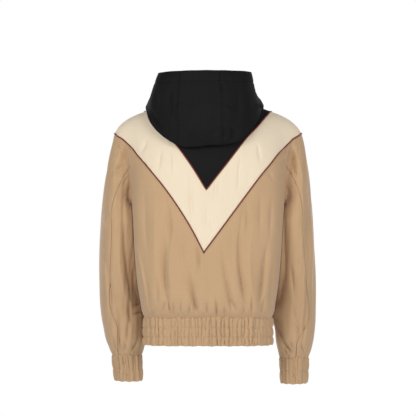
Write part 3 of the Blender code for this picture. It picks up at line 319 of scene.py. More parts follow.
TRUNK_CREASES = {
    "back": (
        (111, -280, 122, -412, 106, -552, 0.6, 10, 5.8),
        (93, -300, 102.5, -410, 93, -540, 0.5, 11, -2.2),
        (121, -212, 104, -300, 113, -385, 0.55, 8, 3.4),
        (140, -190, 143, -320, 142, -480, 0.5, 14, -2.2),
        (172, -170, 170, -300, 162, -420, 0.5, 11, 1.6),
        (60, -395, 47, -470, 29, -553, 0.8, 8.5, 6.2),
        (72, -300, 70, -380, 56, -460, 0.5, 11, 1.6),
        (43, -335, 25.5, -400, 34, -455, 0.5, 6, 3.2),
        (12, -400, 8, -450, 6, -520, 0.5, 12, -1.4),
        (199, -335, 175, -440, 163, -552, 0.5, 5, -3.4),
        (190, -365, 171, -450, 157, -552, 0.6, 6, 2.8),
        (136, -440, 140, -485, 136, -530, 0.5, 7, 2),
        (-105, -228, -86.2, -410, -118, -553, 0.72, 8.5, 5.6),
        (-126, -300, -112, -410, -132, -540, 0.55, 11, -2),
        (-164, -330, -150, -440, -139, -553, 0.62, 8, 5.2),
        (-34, -325, -48, -440, -72, -553, 0.8, 8, 4.6),
        (-68, -280, -64, -360, -72, -450, 0.5, 12, 1.6),
        (-100, -235, -108, -285, -96, -350, 0.5, 7, 2.2),
        (-140, -200, -142, -270, -138, -350, 0.5, 11, 1.8),
        (-172, -220, -170, -290, -166, -360, 0.5, 8, 1.8),
        (-19.5, -485, -22, -520, -24, -556, 0.75, 4, 3),
        (-118, -480, -119.5, -515, -119, -556, 0.6, 4, 2.6),
        (-176, -400, -172, -470, -166, -550, 0.55, 6, 2),
        (-158, -150, -168, -170, -182, -192, 0.5, 4.5, 1.4),
        (126, -95, 131, -125, 136, -172, 0.4, 6, 2),
        (104, -85, 103, -130, 101, -190, 0.45, 6, 2.1),
        (48, -150, 46.5, -230, 43, -312, 0.55, 6, 2.8),
        (2, -245, 3, -280, 6, -320, 0.5, 7, 1.6),
        (165, -65, 172, -90, 184, -120, 0.5, 7, 1.3),
        (-26, -168, -21, -205, -16, -252, 0.5, 5.5, 2.1),
        (-90, -105, -85, -155, -80, -225, 0.55, 6, 2.4),
        (-134, -80, -138, -110, -141, -140, 0.5, 6, 1.9),
        (0, -265, -6, -290, -16, -330, 0.5, 7, 1),
        (111.5, -500, 122, -522, 133, -548, 0.5, 3.5, 3.2),
        (111.5, -495, 107.5, -525, 104, -553, 0.6, 3.5, 3.4),
        (47, -508, 50, -530, 53.5, -553, 0.6, 3.5, 2.6),
        (148, -528, 151, -542, 154.5, -555, 0.6, 3.5, 2.6),
        (96, -505, 95.5, -530, 96, -553, 0.6, 3.5, 2.2),
        (75, -500, 74.5, -528, 76, -553, 0.6, 3.5, 2.4),
        (2, -500, 3, -528, 1, -553, 0.6, 3.5, 2.4),
        (-59.4, -500, -71, -522, -85, -548, 0.5, 4, 3.4),
        (-45, -515, -45.5, -535, -47, -553, 0.6, 3.2, 2.2),
        (-96, -512, -98.5, -532, -101, -553, 0.6, 3, 2.2),
        (-154, -498, -150, -520, -146, -548, 0.6, 3.5, 3),
    ),
    "front": (
        (118, -250, 126, -400, 104, -552, 0.6, 11, 5),
        (100, -310, 108, -410, 94, -540, 0.5, 11, -2),
        (68, -400, 60, -480, 48, -553, 0.8, 8.5, 4.6),
        (160, -330, 152, -440, 142, -552, 0.6, 8, 4.6),
        (30, -455, 31, -505, 28, -556, 0.75, 5, 3),
        (-106, -235, -92, -415, -118, -553, 0.7, 9.5, 5),
        (-152, -330, -142, -440, -134, -552, 0.6, 8, 4.6),
        (-58, -410, -62, -480, -70, -553, 0.8, 8, 4.2),
        (-26, -470, -27, -510, -30, -556, 0.7, 5, 2.8),
        (104, -95, 102, -140, 98, -200, 0.45, 7, 1.5),
        (-96, -100, -92, -150, -84, -215, 0.55, 7, 1.5),
        (155, -75, 162, -105, 172, -140, 0.5, 7, 1.3),
        (-150, -80, -160, -110, -170, -145, 0.5, 7, 1.3),
    ),
}
TRUNK_CREASES = {face: in_metres(rows, CREASE_COLUMNS, PEAK) for face, rows in TRUNK_CREASES.items()}
print("creases of the trunk:", sum(len(rows) for rows in TRUNK_CREASES.values()))

# %% [markdown]
# ## Gathers
# The hem band and the cuffs are longer strips sewn to a stretched elastic. When it pulls back, the
# cloth stands up in small puffs with sharp valleys between them, unevenly spaced, and short pleats
# run from the seam up into the panel above. The valleys are drawn by seeded chance, so that every run
# gives the same ones.

# %% Pleats that run up from a gathered seam
def small_pleats(seed, start, end, gap, height, depth):
    """Rows for the pleats nobody would place by hand."""
    rng = random.Random(seed)
    rows, place = [], start
    while place < end:
        tall, lean = height * rng.uniform(0.5, 1.6), rng.uniform(-0.25, 0.25)
        width = gap * rng.uniform(0.20, 0.34)
        rows.append((place, lean, width, tall, depth * rng.uniform(0.4, 1.3)))
        place += gap * rng.uniform(0.55, 1.45)
    return rows


PLEAT_WIDENS = 0.035        # a pleat is twice as wide at this height


def pleats(rows, a, h):
    """How far pleats sink the cloth at a distance a along the seam and a height h over it."""
    sunk = np.zeros(np.broadcast(a, h).shape)
    for place, lean, width, tall, depth in rows:
        off = np.abs(a - place - lean * h) / (width * (1 + h / PLEAT_WIDENS))
        sunk = sunk + depth * np.exp(-off ** 1.5) * np.exp(-(np.maximum(h, 0) / tall) ** 1.6)
    return sunk

# %% The pleats over the hem band, in millimetres
PLEAT_COLUMNS = ("place", "lean", "width", "height", "depth")
HEM_PLEATS = {
    "back": (
        (140, 0.2, 3, 20, 2.2),
        (105, -0.5, 3, 34, 3.4),
        (124, 0.6, 2.6, 30, 2),
        (78, 0.15, 2.6, 16, 1.8),
        (54, -0.2, 2.8, 16, 1.8),
        (33, 0.1, 3, 42, 3.4),
        (12, 0.1, 2.6, 14, 1.6),
        (-24, 0.05, 2.8, 40, 3.2),
        (-46, -0.15, 2.6, 18, 1.8),
        (-68, 0.3, 3, 34, 2.8),
        (-92, 0.1, 2.8, 20, 2),
        (-118, 0.05, 3, 36, 3.2),
        (-143, -0.25, 3, 30, 2.6),
        (-163, -0.15, 2.8, 24, 2.2),
        (170, 0.2, 3, 30, 2.2),
        (-190, 0.1, 3, 26, 2.4),
        (196, -0.1, 3, 24, 2.4),
    ),
    "front": (
        (20, 0.1, 3, 30, 2.6),
        (50, -0.15, 3, 36, 3),
        (82, 0.2, 2.8, 20, 2),
        (110, -0.1, 3, 40, 3.2),
        (150, 0.15, 3, 30, 2.6),
        (190, 0.1, 3, 24, 2.4),
        (-24, -0.1, 3, 34, 2.8),
        (-64, 0.2, 2.8, 30, 2.6),
        (-98, -0.2, 2.8, 20, 2),
        (-126, 0.1, 3, 40, 3),
        (-166, -0.1, 3, 26, 2.4),
        (-200, 0.05, 3, 26, 2.4),
    ),
}
for face, seed in (("back", 5), ("front", 8)):
    chance = small_pleats(seed, start=-0.225, end=0.225, gap=0.0095, height=0.011, depth=0.0009)
    HEM_PLEATS[face] = in_metres(HEM_PLEATS[face], PLEAT_COLUMNS, "lean") + tuple(chance)

# %% The creased trunk
HEM_TURNS = np.linspace(0.0, 1.0, 200)
HEM_LENGTHS = {}
for face in ("back", "front"):
    line = smooth_trunk(face, HEM_TURNS, 0.0)
    HEM_LENGTHS[face] = np.concatenate([[0], np.cumsum(np.linalg.norm(np.diff(line, axis=0), axis=1))])
print("hem seam:", round(2 * (HEM_LENGTHS["back"][-1] + HEM_LENGTHS["front"][-1]), 3), "m round")


def trunk(face, s, w):
    """The outer face of the cloth of the trunk, creased and pleated."""
    p = smooth_trunk(face, s, w)
    x, z = p[..., 0], p[..., 2]
    height = np.asarray(w, float) * (BLADES - HEM_SEAM)
    # Sewn to the band, the cloth can't sink as far beside the hem seam as it does higher up.
    sunk = (relief(TRUNK_CREASES[face], x, z) + ripple(x, z)) * (0.5 + 0.5 * ease(height / 0.012))
    place = np.sign(s) * np.interp(np.abs(s), HEM_TURNS, HEM_LENGTHS[face])
    sunk = sunk + pleats(HEM_PLEATS[face], place, height) * (0.45 + 0.55 * ease(height / 0.006))
    half, side, far = ring_sizes(face, z)
    inward = unit(np.stack([-x / half ** 2, -(p[..., 1] - side) / (far - side) ** 2, 0 * half], axis=-1))
    return p + inward * sunk[..., None]

# %% [markdown]
# ## Seam lines
# The chevron of a sewn jacket is two V seams that start in the middle, climb over the shoulders and come
# down again in front. Each is a short row of places (across, height) on the trunk. A few Newton steps
# find those places in the form's own (s, w), and one curve through them is the seam for both panels.

# %% The V seams
OUTER_V = {
    ("back", "left"): (
        (0.0113, -0.379), (0.055, -0.297), (0.125, -0.195), (0.167, -0.1435), (0.196, -0.109), (0.217, -0.086),
        (0.235, -0.070),
    ),
    ("back", "right"): (
        (-0.0113, -0.379), (0.0435, -0.305), (0.101, -0.227), (0.139, -0.176), (0.177, -0.129), (0.216, -0.087),
        (0.234, -0.070),
    ),
    ("front", "both"): ((0.0, -0.372), (0.060, -0.290), (0.125, -0.200), (0.175, -0.135), (0.217, -0.088)),
}
INNER_V = {
    ("back", "left"): ((0.0046, -0.209), (0.044, -0.146), (0.083, -0.092), (0.125, -0.044)),
    ("back", "right"): ((-0.0046, -0.209), (0.049, -0.141), (0.100, -0.075), (0.140, -0.031), (0.158, -0.0105)),
    ("front", "both"): ((0.0, -0.205), (0.047, -0.145), (0.095, -0.083), (0.135, -0.037)),
}
tips = [table["back", "left"][0][1] for table in (OUTER_V, INNER_V)]
print("the tips of the V seams lie at heights of", tips, "m")

# %% From places to seams
SHOULDER_X = 0.2535         # shoulder tip, where the outer V crosses the shoulder line
INNER_V_X = 0.172           # where the inner V crosses it
JUNCTION_X = 0.227          # where the outer V meets the armhole


@functools.lru_cache(maxsize=None)
def find(face, x, z):
    """The (s, w) of the trunk at this place across and this height; x may be just over the middle."""
    s = min(x / 0.25, 0.9)
    least = 1e-3 if x > 0 else min(x, 0.0) / 0.1
    w = (z - HEM_SEAM) / (BLADES - HEM_SEAM) if z < BLADES else 1 + (z - BLADES) / 0.3
    for _ in range(14):
        p = smooth_trunk(face, s, w)
        ds = (smooth_trunk(face, s + 1e-5, w) - p)[[0, 2]] / 1e-5
        dw = (smooth_trunk(face, s, w + 1e-5) - p)[[0, 2]] / 1e-5
        step = np.linalg.solve(np.column_stack([ds, dw]), np.array([x - p[0], z - p[2]]))
        s = float(np.clip(s + 0.85 * step[0], least, 0.98))
        w = float(np.clip(w + 0.85 * step[1], 0.01, 1.97))
    return s, w


def spread(rows, shares):
    """Places along a line through (s, w) rows, by its share of the length."""
    rows = np.array(rows, float)
    length = np.concatenate([[0], np.cumsum(np.linalg.norm(np.diff(rows, axis=0), axis=1))])
    length /= length[-1]
    return np.stack([curve(length, rows[:, 0], shares), curve(length, rows[:, 1], shares)], axis=-1)


def v_line(table, face, side, top_x, shares):
    """(s, w) along a V seam from the middle (share 0) to the shoulder line (share 1)."""
    rows = [find(face, x, z) for x, z in table.get((face, side)) or table[face, "both"]]
    top_s = float(np.interp(top_x, column(TOPS, TOP_COLUMNS, "x"), column(TOPS, TOP_COLUMNS, "s")))
    return spread(rows + [(top_s, 2.0)], np.asarray(shares, float))


@functools.lru_cache(maxsize=None)
def junction_share(face, side):
    """The share of the outer V seam at which it reaches the armhole."""
    shares = np.linspace(0.5, 1.0, 201)
    line = v_line(OUTER_V, face, side, SHOULDER_X, shares)
    across = np.abs(smooth_trunk(face, line[:, 0], line[:, 1])[:, 0])
    return float(shares[np.argmin(np.abs(across - JUNCTION_X))])

# %% The armholes and the neck seam
ARMHOLE_COLUMNS = ("share", "s", "w")   # from the junction (0) to the underarm (1)
ARMHOLE = {
    "back": ((0.30, 0.812, 1.26), (0.60, 0.856, 1.04), (0.84, 0.925, 0.91), (1.00, 1.0, 0.875)),
    "front": ((0.30, 0.765, 1.22), (0.60, 0.790, 1.01), (0.84, 0.880, 0.90), (1.00, 1.0, 0.875)),
}
V_SHARE = 0.20              # share of the half armhole that lies along the V seam
NECK_COLUMNS = ("share", "s", "w")      # from the middle (0) to the shoulder line (1)
NECK = {
    "back": ((0.0, 0.0, 1.60), (0.5, 0.150, 1.64), (1.0, 0.300, 2.0)),
    "front": ((0.0, 0.0, 1.345), (0.5, 0.160, 1.44), (1.0, 0.300, 2.0)),
}


def armhole(face, side, shares):
    """(s, w) from the shoulder tip (share 0) by the V seam to the underarm (share 1)."""
    junction = junction_share(face, side)
    start = v_line(OUTER_V, face, side, SHOULDER_X, [junction])[0]
    rows = ((0.0, start[0], start[1]),) + ARMHOLE[face]
    shares = np.asarray(shares, float)
    low = (shares - V_SHARE) / (1 - V_SHARE)
    below = np.stack([along(rows, ARMHOLE_COLUMNS, name, low) for name in ("s", "w")], axis=-1)
    high = 1 - (1 - junction) * np.clip(shares / V_SHARE, 0, 1)
    above = v_line(OUTER_V, face, side, SHOULDER_X, high)
    return np.where((shares < V_SHARE)[:, None], above, below)


def neck(face, shares):
    return np.stack([along(NECK[face], NECK_COLUMNS, name, shares) for name in ("s", "w")], axis=-1)


print("outer V meets the armhole at", round(junction_share("back", "left"), 3), "of its length")

# %% [markdown]
# ## The sleeves
# A sleeve is a tube that sets off from the armhole and then hangs beside the trunk. A place on it is
# sleeve(side, place, v): place goes round it, from the shoulder tip (0) by the back to the underarm
# (0.5) and on by the front, and v down it, to the cuff (1). Where it would press into the trunk it
# leans on it instead.

# %% The sleeves' rings, set-off and seams
SLEEVE_COLUMNS = ("z", "x", "y", "half_width", "half_depth")
SLEEVE = {
    "left": (
        (-0.300, 0.2415, -0.020, 0.0485, 0.076),
        (-0.370, 0.2425, -0.030, 0.0510, 0.075),
        (-0.450, 0.2400, -0.043, 0.0540, 0.071),
        (-0.520, 0.2355, -0.054, 0.0565, 0.067),
        (-0.580, 0.2265, -0.062, 0.0575, 0.062),
        (-0.622, 0.2220, -0.067, 0.0520, 0.055),
        (-0.646, 0.2198, -0.070, 0.0447, 0.047),
        (-0.658, 0.2185, -0.071, 0.0405, 0.042),
    ),
    "right": (
        (-0.300, 0.2375, -0.020, 0.0465, 0.076),
        (-0.370, 0.2390, -0.030, 0.0490, 0.075),
        (-0.450, 0.2390, -0.043, 0.0525, 0.071),
        (-0.520, 0.2370, -0.054, 0.0550, 0.067),
        (-0.585, 0.2355, -0.062, 0.0540, 0.062),
        (-0.628, 0.2340, -0.067, 0.0490, 0.055),
        (-0.652, 0.2330, -0.070, 0.0430, 0.047),
        (-0.665, 0.2320, -0.071, 0.0395, 0.042),
    ),
}
SET_OFF_COLUMNS = ("round", "angle", "x", "y", "z")
SET_OFF = (
    (0.00, 0, 0.050, 0.000, -0.200),
    (0.10, 24, 0.090, 0.020, -0.200),
    (0.20, 46, 0.110, 0.020, -0.180),
    (0.32, 76, 0.100, -0.010, -0.140),
    (0.42, 120, 0.050, -0.050, -0.060),
    (0.50, 180, 0.020, -0.060, -0.020),
    (0.58, 236, 0.045, 0.010, -0.050),
    (0.68, 282, 0.090, 0.020, -0.120),
    (0.80, 314, 0.110, -0.010, -0.180),
    (0.90, 336, 0.090, -0.010, -0.200),
    (1.00, 360, 0.050, 0.000, -0.200),
)
FREE_SHARE = 0.30           # share of the sleeve's length between the armhole and its first ring
SEAM_COLUMNS = ("v", "back", "front")
SLEEVE_SEAMS = {
    "left": (
        (0.00, 0.2333, 0.6333),
        (0.20, 0.255, 0.66),
        (0.30, 0.285, 0.68),
        (0.59, 0.270, 0.68),
        (0.75, 0.250, 0.68),
        (0.85, 0.300, 0.68),
        (0.94, 0.265, 0.68),
        (1.00, 0.230, 0.68),
    ),
    "right": (
        (0.00, 0.2333, 0.6333),
        (0.12, 0.240, 0.65),
        (0.30, 0.295, 0.68),
        (0.43, 0.280, 0.68),
        (0.62, 0.253, 0.68),
        (0.80, 0.207, 0.68),
        (0.91, 0.330, 0.68),
        (1.00, 0.333, 0.68),
    ),
}

# %% The creases of the sleeves, in millimetres
SLEEVE_CREASES = {
    "left": {
        "back": (
            (210, -330, 198, -440, 176, -560, 0.6, 20, 4),
            (229, -205, 227, -330, 194, -550, 0.45, 8.5, 5),
            (219, -138, 240, -154, 262, -176, 0.45, 16, 4.6),
            (244, -72, 234, -86, 223, -102, 0.5, 5, -1.8),
            (228, -146, 244, -160, 268, -180, 0.5, 6, -1.2),
            (243, -330, 236, -430, 214, -540, 0.55, 12, -2.2),
            (289, -375, 274, -465, 276, -575, 0.5, 5, -1.8),
            (281, -385, 266, -470, 268, -580, 0.5, 6, 2.6),
            (279, -270, 277, -300, 276, -330, 0.5, 5, -1.6),
            (249, -70, 236, -90, 222, -112, 0.5, 4.5, -1.8),
            (254, -78, 240, -98, 226, -122, 0.5, 4, 1.8),
            (217, -170, 224, -190, 233, -206, 0.5, 4.5, 1.6),
            (262, -470, 248, -540, 242, -640, 0.6, 7, 3),
            (236, -590, 234.5, -620, 233.5, -655, 0.6, 4.5, -3),
            (205, -545, 216, -585, 214, -640, 0.5, 7, 3.2),
            (179, -512, 190, -521, 201.5, -530.5, 0.5, 4, 2.6),
            (180, -538, 192, -545, 204, -551, 0.5, 4, 2.4),
            (216, -500, 210, -545, 205, -585, 0.5, 9, 4),
            (186, -606, 198, -633, 209, -650, 0.6, 4, 3.4),
            (262, -600, 255.5, -628, 251, -656, 0.6, 4, 2.8),
            (246, -560, 243, -605, 239, -653, 0.6, 4.5, 3),
            (223, -610, 224, -630, 227, -656, 0.6, 3.5, 2.6),
        ),
        "front": (
            (226, -270, 240, -400, 222, -520, 0.5, 11, 4.8),
            (214, -430, 236, -520, 232, -620, 0.6, 9, 4),
            (262, -300, 268, -420, 262, -560, 0.5, 8, 3),
            (250, -560, 240, -600, 226, -650, 0.6, 6, 3),
        ),
    },
    "right": {
        "back": (
            (-207, -360, -197, -460, -180, -560, 0.6, 17, 3.6),
            (-213, -200, -208, -320, -206, -520, 0.45, 7, 2.8),
            (-228, -86, -225, -130, -216, -190, 0.5, 13, 4.2),
            (-221, -128, -232, -155, -241, -185, 0.5, 5, 3),
            (-221, -400, -229, -460, -234, -515, 0.5, 7, 3),
            (-262, -200, -268, -310, -262, -430, 0.45, 6, 2.8),
            (-274, -230, -280, -360, -276, -540, 0.5, 4.5, -2.6),
            (-283, -260, -287, -380, -282, -560, 0.5, 4, 2.4),
            (-252, -385, -247, -410, -245, -430, 0.5, 4.5, 1.6),
            (-226, -520, -238, -560, -250, -640, 0.55, 7, 3.6),
            (-262, -500, -262, -570, -256, -645, 0.6, 6, 2.8),
            (-192, -606, -216.8, -640, -238, -661, 0.55, 4.5, 5),
            (-184, -550, -192, -597, -206, -630, 0.6, 6, 3.6),
            (-214.6, -612, -223, -628, -233, -646, 0.5, 3.5, 2.8),
            (-201, -630, -207, -645, -215, -664, 0.6, 3.5, 3),
            (-250.6, -615, -256, -634, -262.5, -660, 0.6, 3.5, 2.8),
            (-257, -420, -259, -500, -256, -590, 0.5, 4.5, -2),
        ),
        "front": (
            (-222, -280, -238, -410, -224, -530, 0.5, 11, 4.8),
            (-210, -440, -234, -530, -236, -630, 0.6, 9, 4),
            (-260, -300, -266, -420, -262, -560, 0.5, 8, 3),
        ),
    },
}
SLEEVE_CREASES = {
    side: {face: in_metres(rows, CREASE_COLUMNS, PEAK) for face, rows in faces.items()}
    for side, faces in SLEEVE_CREASES.items()
}
CUFF_ROUND = 0.262          # length round the end of a sleeve
CUFF_PLEATS = {
    side: small_pleats(seed, start=0.0, end=CUFF_ROUND, gap=0.0085, height=0.020, depth=0.0021)
    for side, seed in (("left", 21), ("right", 22))
}
print("pleats over the cuffs:", {side: len(rows) for side, rows in CUFF_PLEATS.items()})

# %% Rings of a sleeve, and the armhole it starts from
def sleeve_size(side, name, z):
    return along(SLEEVE[side][::-1], SLEEVE_COLUMNS, name, z)


def sleeve_ring(side, z, angle):
    across, middle, half, deep = (sleeve_size(side, name, z) for name in SLEEVE_COLUMNS[1:])
    a = np.radians(angle)
    return np.stack([SIGN[side] * (across + half * np.cos(a)), middle + deep * np.sin(a), z + 0 * a], axis=-1)


def armhole_point(side, place, form=smooth_trunk):
    """A point on the whole armhole, place 0 at the shoulder tip and 0.5 at the underarm."""
    flat = np.asarray(place, float).ravel() % 1.0
    points = np.zeros((flat.size, 3))
    for face in ("back", "front"):
        pick = flat <= 0.5 if face == "back" else flat > 0.5
        line = armhole(face, side, 2 * flat[pick] if face == "back" else 2 * (1 - flat[pick]))
        points[pick] = form(face, SIGN[side] * line[:, 0], line[:, 1])
    return points.reshape(np.shape(place) + (3,))


print("shoulder tip:", armhole_point("left", 0.0).round(3), "underarm:", armhole_point("left", 0.5).round(3))

# %% Leaning on the trunk
DRAWN_NEAR = 0.016          # cloth this close to the trunk is drawn to it
CLEAR, CLEAR_OF_BAND = 0.0006, 0.0032       # how far a sleeve stays off the trunk, and off the hem band


def clear_of_trunk(points, clearance):
    """Moves what would press into the trunk out to its side, this far off it."""
    sign = np.where(points[..., 0] < 0, -1.0, 1.0)
    x, y, z = np.abs(points[..., 0]), points[..., 1], points[..., 2]
    half, side, back = ring_sizes("back", z)
    front = ring_sizes("front", z)[2]
    ahead = np.where(y > side, (y - side) / (back - side), (y - side) / (front - side))
    square = np.where(y > side, BACK_SQUARE, FRONT_SQUARE)
    wall = half * (1 - np.clip(ahead, 0, 1) ** square) ** (1 / square)
    below = ease((BLADES - 0.018 - z) / 0.026)
    least = np.where(below > 0, wall + clearance - (1 - below) * 0.03, 0.0)
    apart = x - least
    drawn = np.where(apart < DRAWN_NEAR, np.maximum(apart, 0) * ease(apart / DRAWN_NEAR), apart)
    return np.stack([sign * (least + drawn), y, z], axis=-1)

# %% The sleeve's surface
ARMHOLE_DIP = 0.018         # how far the sleeve sinks beside the back of the armhole
CORNER_REACH = 0.012        # how far the sleeve fills the corner beside the trunk
DRAWN_IN = {"left": 0.0, "right": 0.009}    # how far a sleeve leans in just above the hem band
DRAWN_AT = -0.552           # the height at which it does so
CORNER_ANGLE, INNER_ANGLE = 155, 175        # where round the sleeve the corner and the lean are
BELOW = 0.02                # the ring whose place gives the sleeve's way where it becomes a tube


def sleeve_form(side, around, v, start):
    """A sleeve without its folds: free near the armhole, and a tube from there on."""
    first, last = SLEEVE[side][0][0], SLEEVE[side][-1][0]
    angle = along(SET_OFF, SET_OFF_COLUMNS, "angle", around)
    z = first + (last - first) * np.clip((v - FREE_SHARE) / (1 - FREE_SHARE), 0, 1)
    off = np.stack([along(SET_OFF, SET_OFF_COLUMNS, name, around) for name in ("x", "y", "z")], axis=-1)
    off[..., 0] *= SIGN[side]
    top, lower = (sleeve_ring(side, np.full(v.shape, first - down), angle) for down in (0.0, BELOW))
    away = (lower - top) / BELOW * np.linalg.norm(top - start, axis=-1, keepdims=True)
    t = np.clip(v / FREE_SHARE, 0, 1)[..., None]
    free = (1 + 2 * t) * (1 - t) ** 2 * start + t * t * (3 - 2 * t) * top
    free = free + t * (1 - t) ** 2 * off - t * t * (1 - t) * away
    return np.where(v[..., None] < FREE_SHARE, free, sleeve_ring(side, z, angle))


def sleeve_folds(side, around, v, p):
    """How a sleeve's folds and pleats move it towards its own middle line."""
    x, y = SIGN[side] * sleeve_size(side, "x", p[..., 2]), sleeve_size(side, "y", p[..., 2])
    ahead = (p[..., 1] - y) / 0.045
    ends = ease(v / 0.03) * (0.3 + 0.7 * ease((1 - v) / 0.05))
    sunk = relief(SLEEVE_CREASES[side]["back"], p[..., 0], p[..., 2]) * ease(ahead)
    sunk = sunk + relief(SLEEVE_CREASES[side]["front"], p[..., 0], p[..., 2]) * ease(-ahead)
    sunk = (sunk + ripple(3 * p[..., 0] + p[..., 1], p[..., 2])) * ends
    over_cuff = pleats(CUFF_PLEATS[side], around * CUFF_ROUND, p[..., 2] - SLEEVE[side][-1][0])
    sunk = sunk + over_cuff * ease((v - FREE_SHARE) / 0.2)
    return unit(np.stack([x, y, p[..., 2]], axis=-1) - p) * sunk[..., None]


def sleeve_leans(side, around, v, z):
    """How a sleeve leans: in beside the armhole, out in the corner by the trunk, in over the hem band."""
    angle = along(SET_OFF, SET_OFF_COLUMNS, "angle", around)    # 0 is the outer side, 180 the trunk's
    behind = ease((around - 0.10) / 0.08) * ease((0.57 - around) / 0.05)
    beside = ease(v / 0.012) * ease((0.15 - v) / 0.13)
    corner = np.exp(-((angle - CORNER_ANGLE) / 24) ** 2) * ease((v - 0.05) / 0.12) * ease((0.80 - v) / 0.3)
    back = CORNER_REACH * corner - ARMHOLE_DIP * behind * beside
    inner = np.exp(-((angle - INNER_ANGLE) / 50) ** 2) * np.exp(-((z - DRAWN_AT) / 0.022) ** 2)
    return np.stack([-SIGN[side] * DRAWN_IN[side] * inner, back, 0 * back], axis=-1)


def sleeve(side, place, v, creased=True):
    """The outer face of a sleeve, creased and pleated or smooth."""
    place, v = np.broadcast_arrays(np.asarray(place, float), np.asarray(v, float))
    around = place % 1.0
    p = sleeve_form(side, around, v, armhole_point(side, around, trunk if creased else smooth_trunk))
    if creased:
        p = p + sleeve_folds(side, around, v, p)
        p = p + sleeve_leans(side, around, v, p[..., 2])
    beside_band = ease((HEM_SEAM + 0.010 - p[..., 2]) / 0.012)
    pushed = clear_of_trunk(p, CLEAR + (CLEAR_OF_BAND - CLEAR) * beside_band)
    return np.where((v > 1e-6)[..., None], pushed, p)


print("sleeves end at", {side: SLEEVE[side][-1][0] for side in SIGN})

# %% [markdown]
# ## The hood
# A hood that is pushed back lies on the shoulders as a soft bag: from the neck seam its lower layer
# runs out over the yoke, turns in a fold, and rises to the rim, which stands open. Each row of the
# table is one section of that bag, from the middle of the front round the back to the front again.

# %% The hood's sections
HOOD_COLUMNS = ("turn", "fold_s", "over", "full", "belly_x", "belly_y", "belly_z", "rim_x", "rim_y", "rim_z")
HOOD = (
    (-1.00, -0.006, -0.645, 0.25, -0.002, -0.124, -0.058, -0.002, -0.108, -0.040),
    (-0.84, -0.262, -0.560, 0.45, -0.080, -0.120, -0.030, -0.064, -0.092, 0.020),
    (-0.66, -0.470, -0.300, 0.40, -0.129, -0.058, 0.034, -0.110, -0.048, 0.082),
    (-0.50, -0.505, 0.000, 0.30, -0.132, 0.008, 0.046, -0.1165, 0.006, 0.104),
    (-0.34, -0.437, 0.385, 0.60, -0.130, 0.076, 0.032, -0.113, 0.060, 0.109),
    (-0.18, -0.268, 0.632, 1.00, -0.092, 0.145, 0.000, -0.074, 0.100, 0.112),
    (-0.0625, -0.110, 0.700, 1.00, -0.0370, 0.165, -0.008, -0.0290, 0.114, 0.113),
    (0.00, 0.038, 0.715, 1.00, 0.012, 0.168, -0.010, 0.011, 0.116, 0.113),
    (0.18, 0.310, 0.640, 1.00, 0.106, 0.145, 0.002, 0.094, 0.101, 0.1105),
    (0.34, 0.505, 0.400, 0.75, 0.152, 0.080, 0.032, 0.131, 0.060, 0.1065),
    (0.50, 0.565, 0.000, 0.40, 0.156, 0.008, 0.046, 0.132, 0.006, 0.1030),
    (0.66, 0.520, -0.300, 0.50, 0.146, -0.058, 0.034, 0.123, -0.048, 0.082),
    (0.84, 0.262, -0.560, 0.45, 0.082, -0.120, -0.030, 0.068, -0.092, 0.020),
    (1.00, 0.006, -0.645, 0.25, 0.002, -0.124, -0.058, 0.002, -0.108, -0.040),
)
HOOD_SEAMS = (-0.0625, 0.125)   # turn of the centre strip's two seams
HOOD_UNDER = 0.36               # share of a section that lies under the fold
HOOD_CLEAR = 0.006              # how far the fold lies off the yoke
print("hood:", len(HOOD), "sections")

# %% The points of one section
def neck_line(turn):
    """(s, over) of the neck seam; over is 2 - w on the back and w - 2 in front."""
    size = abs(turn)
    face = "back" if size <= 0.5 else "front"
    s, w = neck(face, 2 * size if size <= 0.5 else 2 * (1 - size))
    return math.copysign(1.0, turn) * float(s), float(2 - w if face == "back" else w - 2)


def on_trunk(s, over, lift):
    """A point this far off the trunk, on the back or over the shoulder line in front."""
    face = "back" if over >= 0 else "front"
    return smooth_trunk(face, s, 2 - abs(over)) + trunk_normal(face, s, 2 - abs(over)) * lift


@functools.lru_cache(maxsize=None)
def hood_keys(turn):
    """The control points of the hood's section here, from the neck seam round the fold to the rim."""
    s, over = neck_line(turn)
    value = {name: float(along(HOOD, HOOD_COLUMNS, name, turn)) for name in HOOD_COLUMNS[1:]}
    fold_s, fold_over, full = value["fold_s"], value["over"], value["full"]
    spots = []
    for share in (0.0, 0.3, 0.65, 1.0):
        lift = 0.0004 + HOOD_CLEAR * share ** 0.35
        spots.append(on_trunk(s + (fold_s - s) * share, over + (fold_over - over) * share, lift))
    out = unit(on_trunk(fold_s, fold_over, 0.01) - on_trunk(fold_s, fold_over, 0.0))
    down = unit(spots[3] - spots[2])
    spots.append(spots[3] + out * 0.010 * full + down * 0.010 * full)
    spots.append(spots[3] + out * 0.028 * full - down * 0.004 * full)
    spots.append(np.array([value["belly_" + k] for k in "xyz"]))
    spots.append(np.array([value["rim_" + k] for k in "xyz"]))
    return np.array(spots)


fold, rim = (round(float(hood_keys(0.0)[k][2]), 3) for k in (3, -1))
print("hood: fold", fold, "m, rim", rim, "m high")

# %% The hood as a whole
def hood(turns, vs):
    """Grid of points of the hood's outer face, a row per v (0 neck seam, 1 rim) and a column per turn."""
    columns = []
    for turn in turns:
        keys = hood_keys(float(turn))
        length = np.concatenate([[0], np.cumsum(np.linalg.norm(np.diff(keys, axis=0), axis=1))])
        under = vs / HOOD_UNDER * length[4]
        over = length[4] + (vs - HOOD_UNDER) / (1 - HOOD_UNDER) * (length[-1] - length[4])
        places = np.where(vs < HOOD_UNDER, under, over)
        columns.append(np.stack([curve(length, keys[:, k], places) for k in range(3)], axis=-1))
    return np.stack(columns, axis=1)

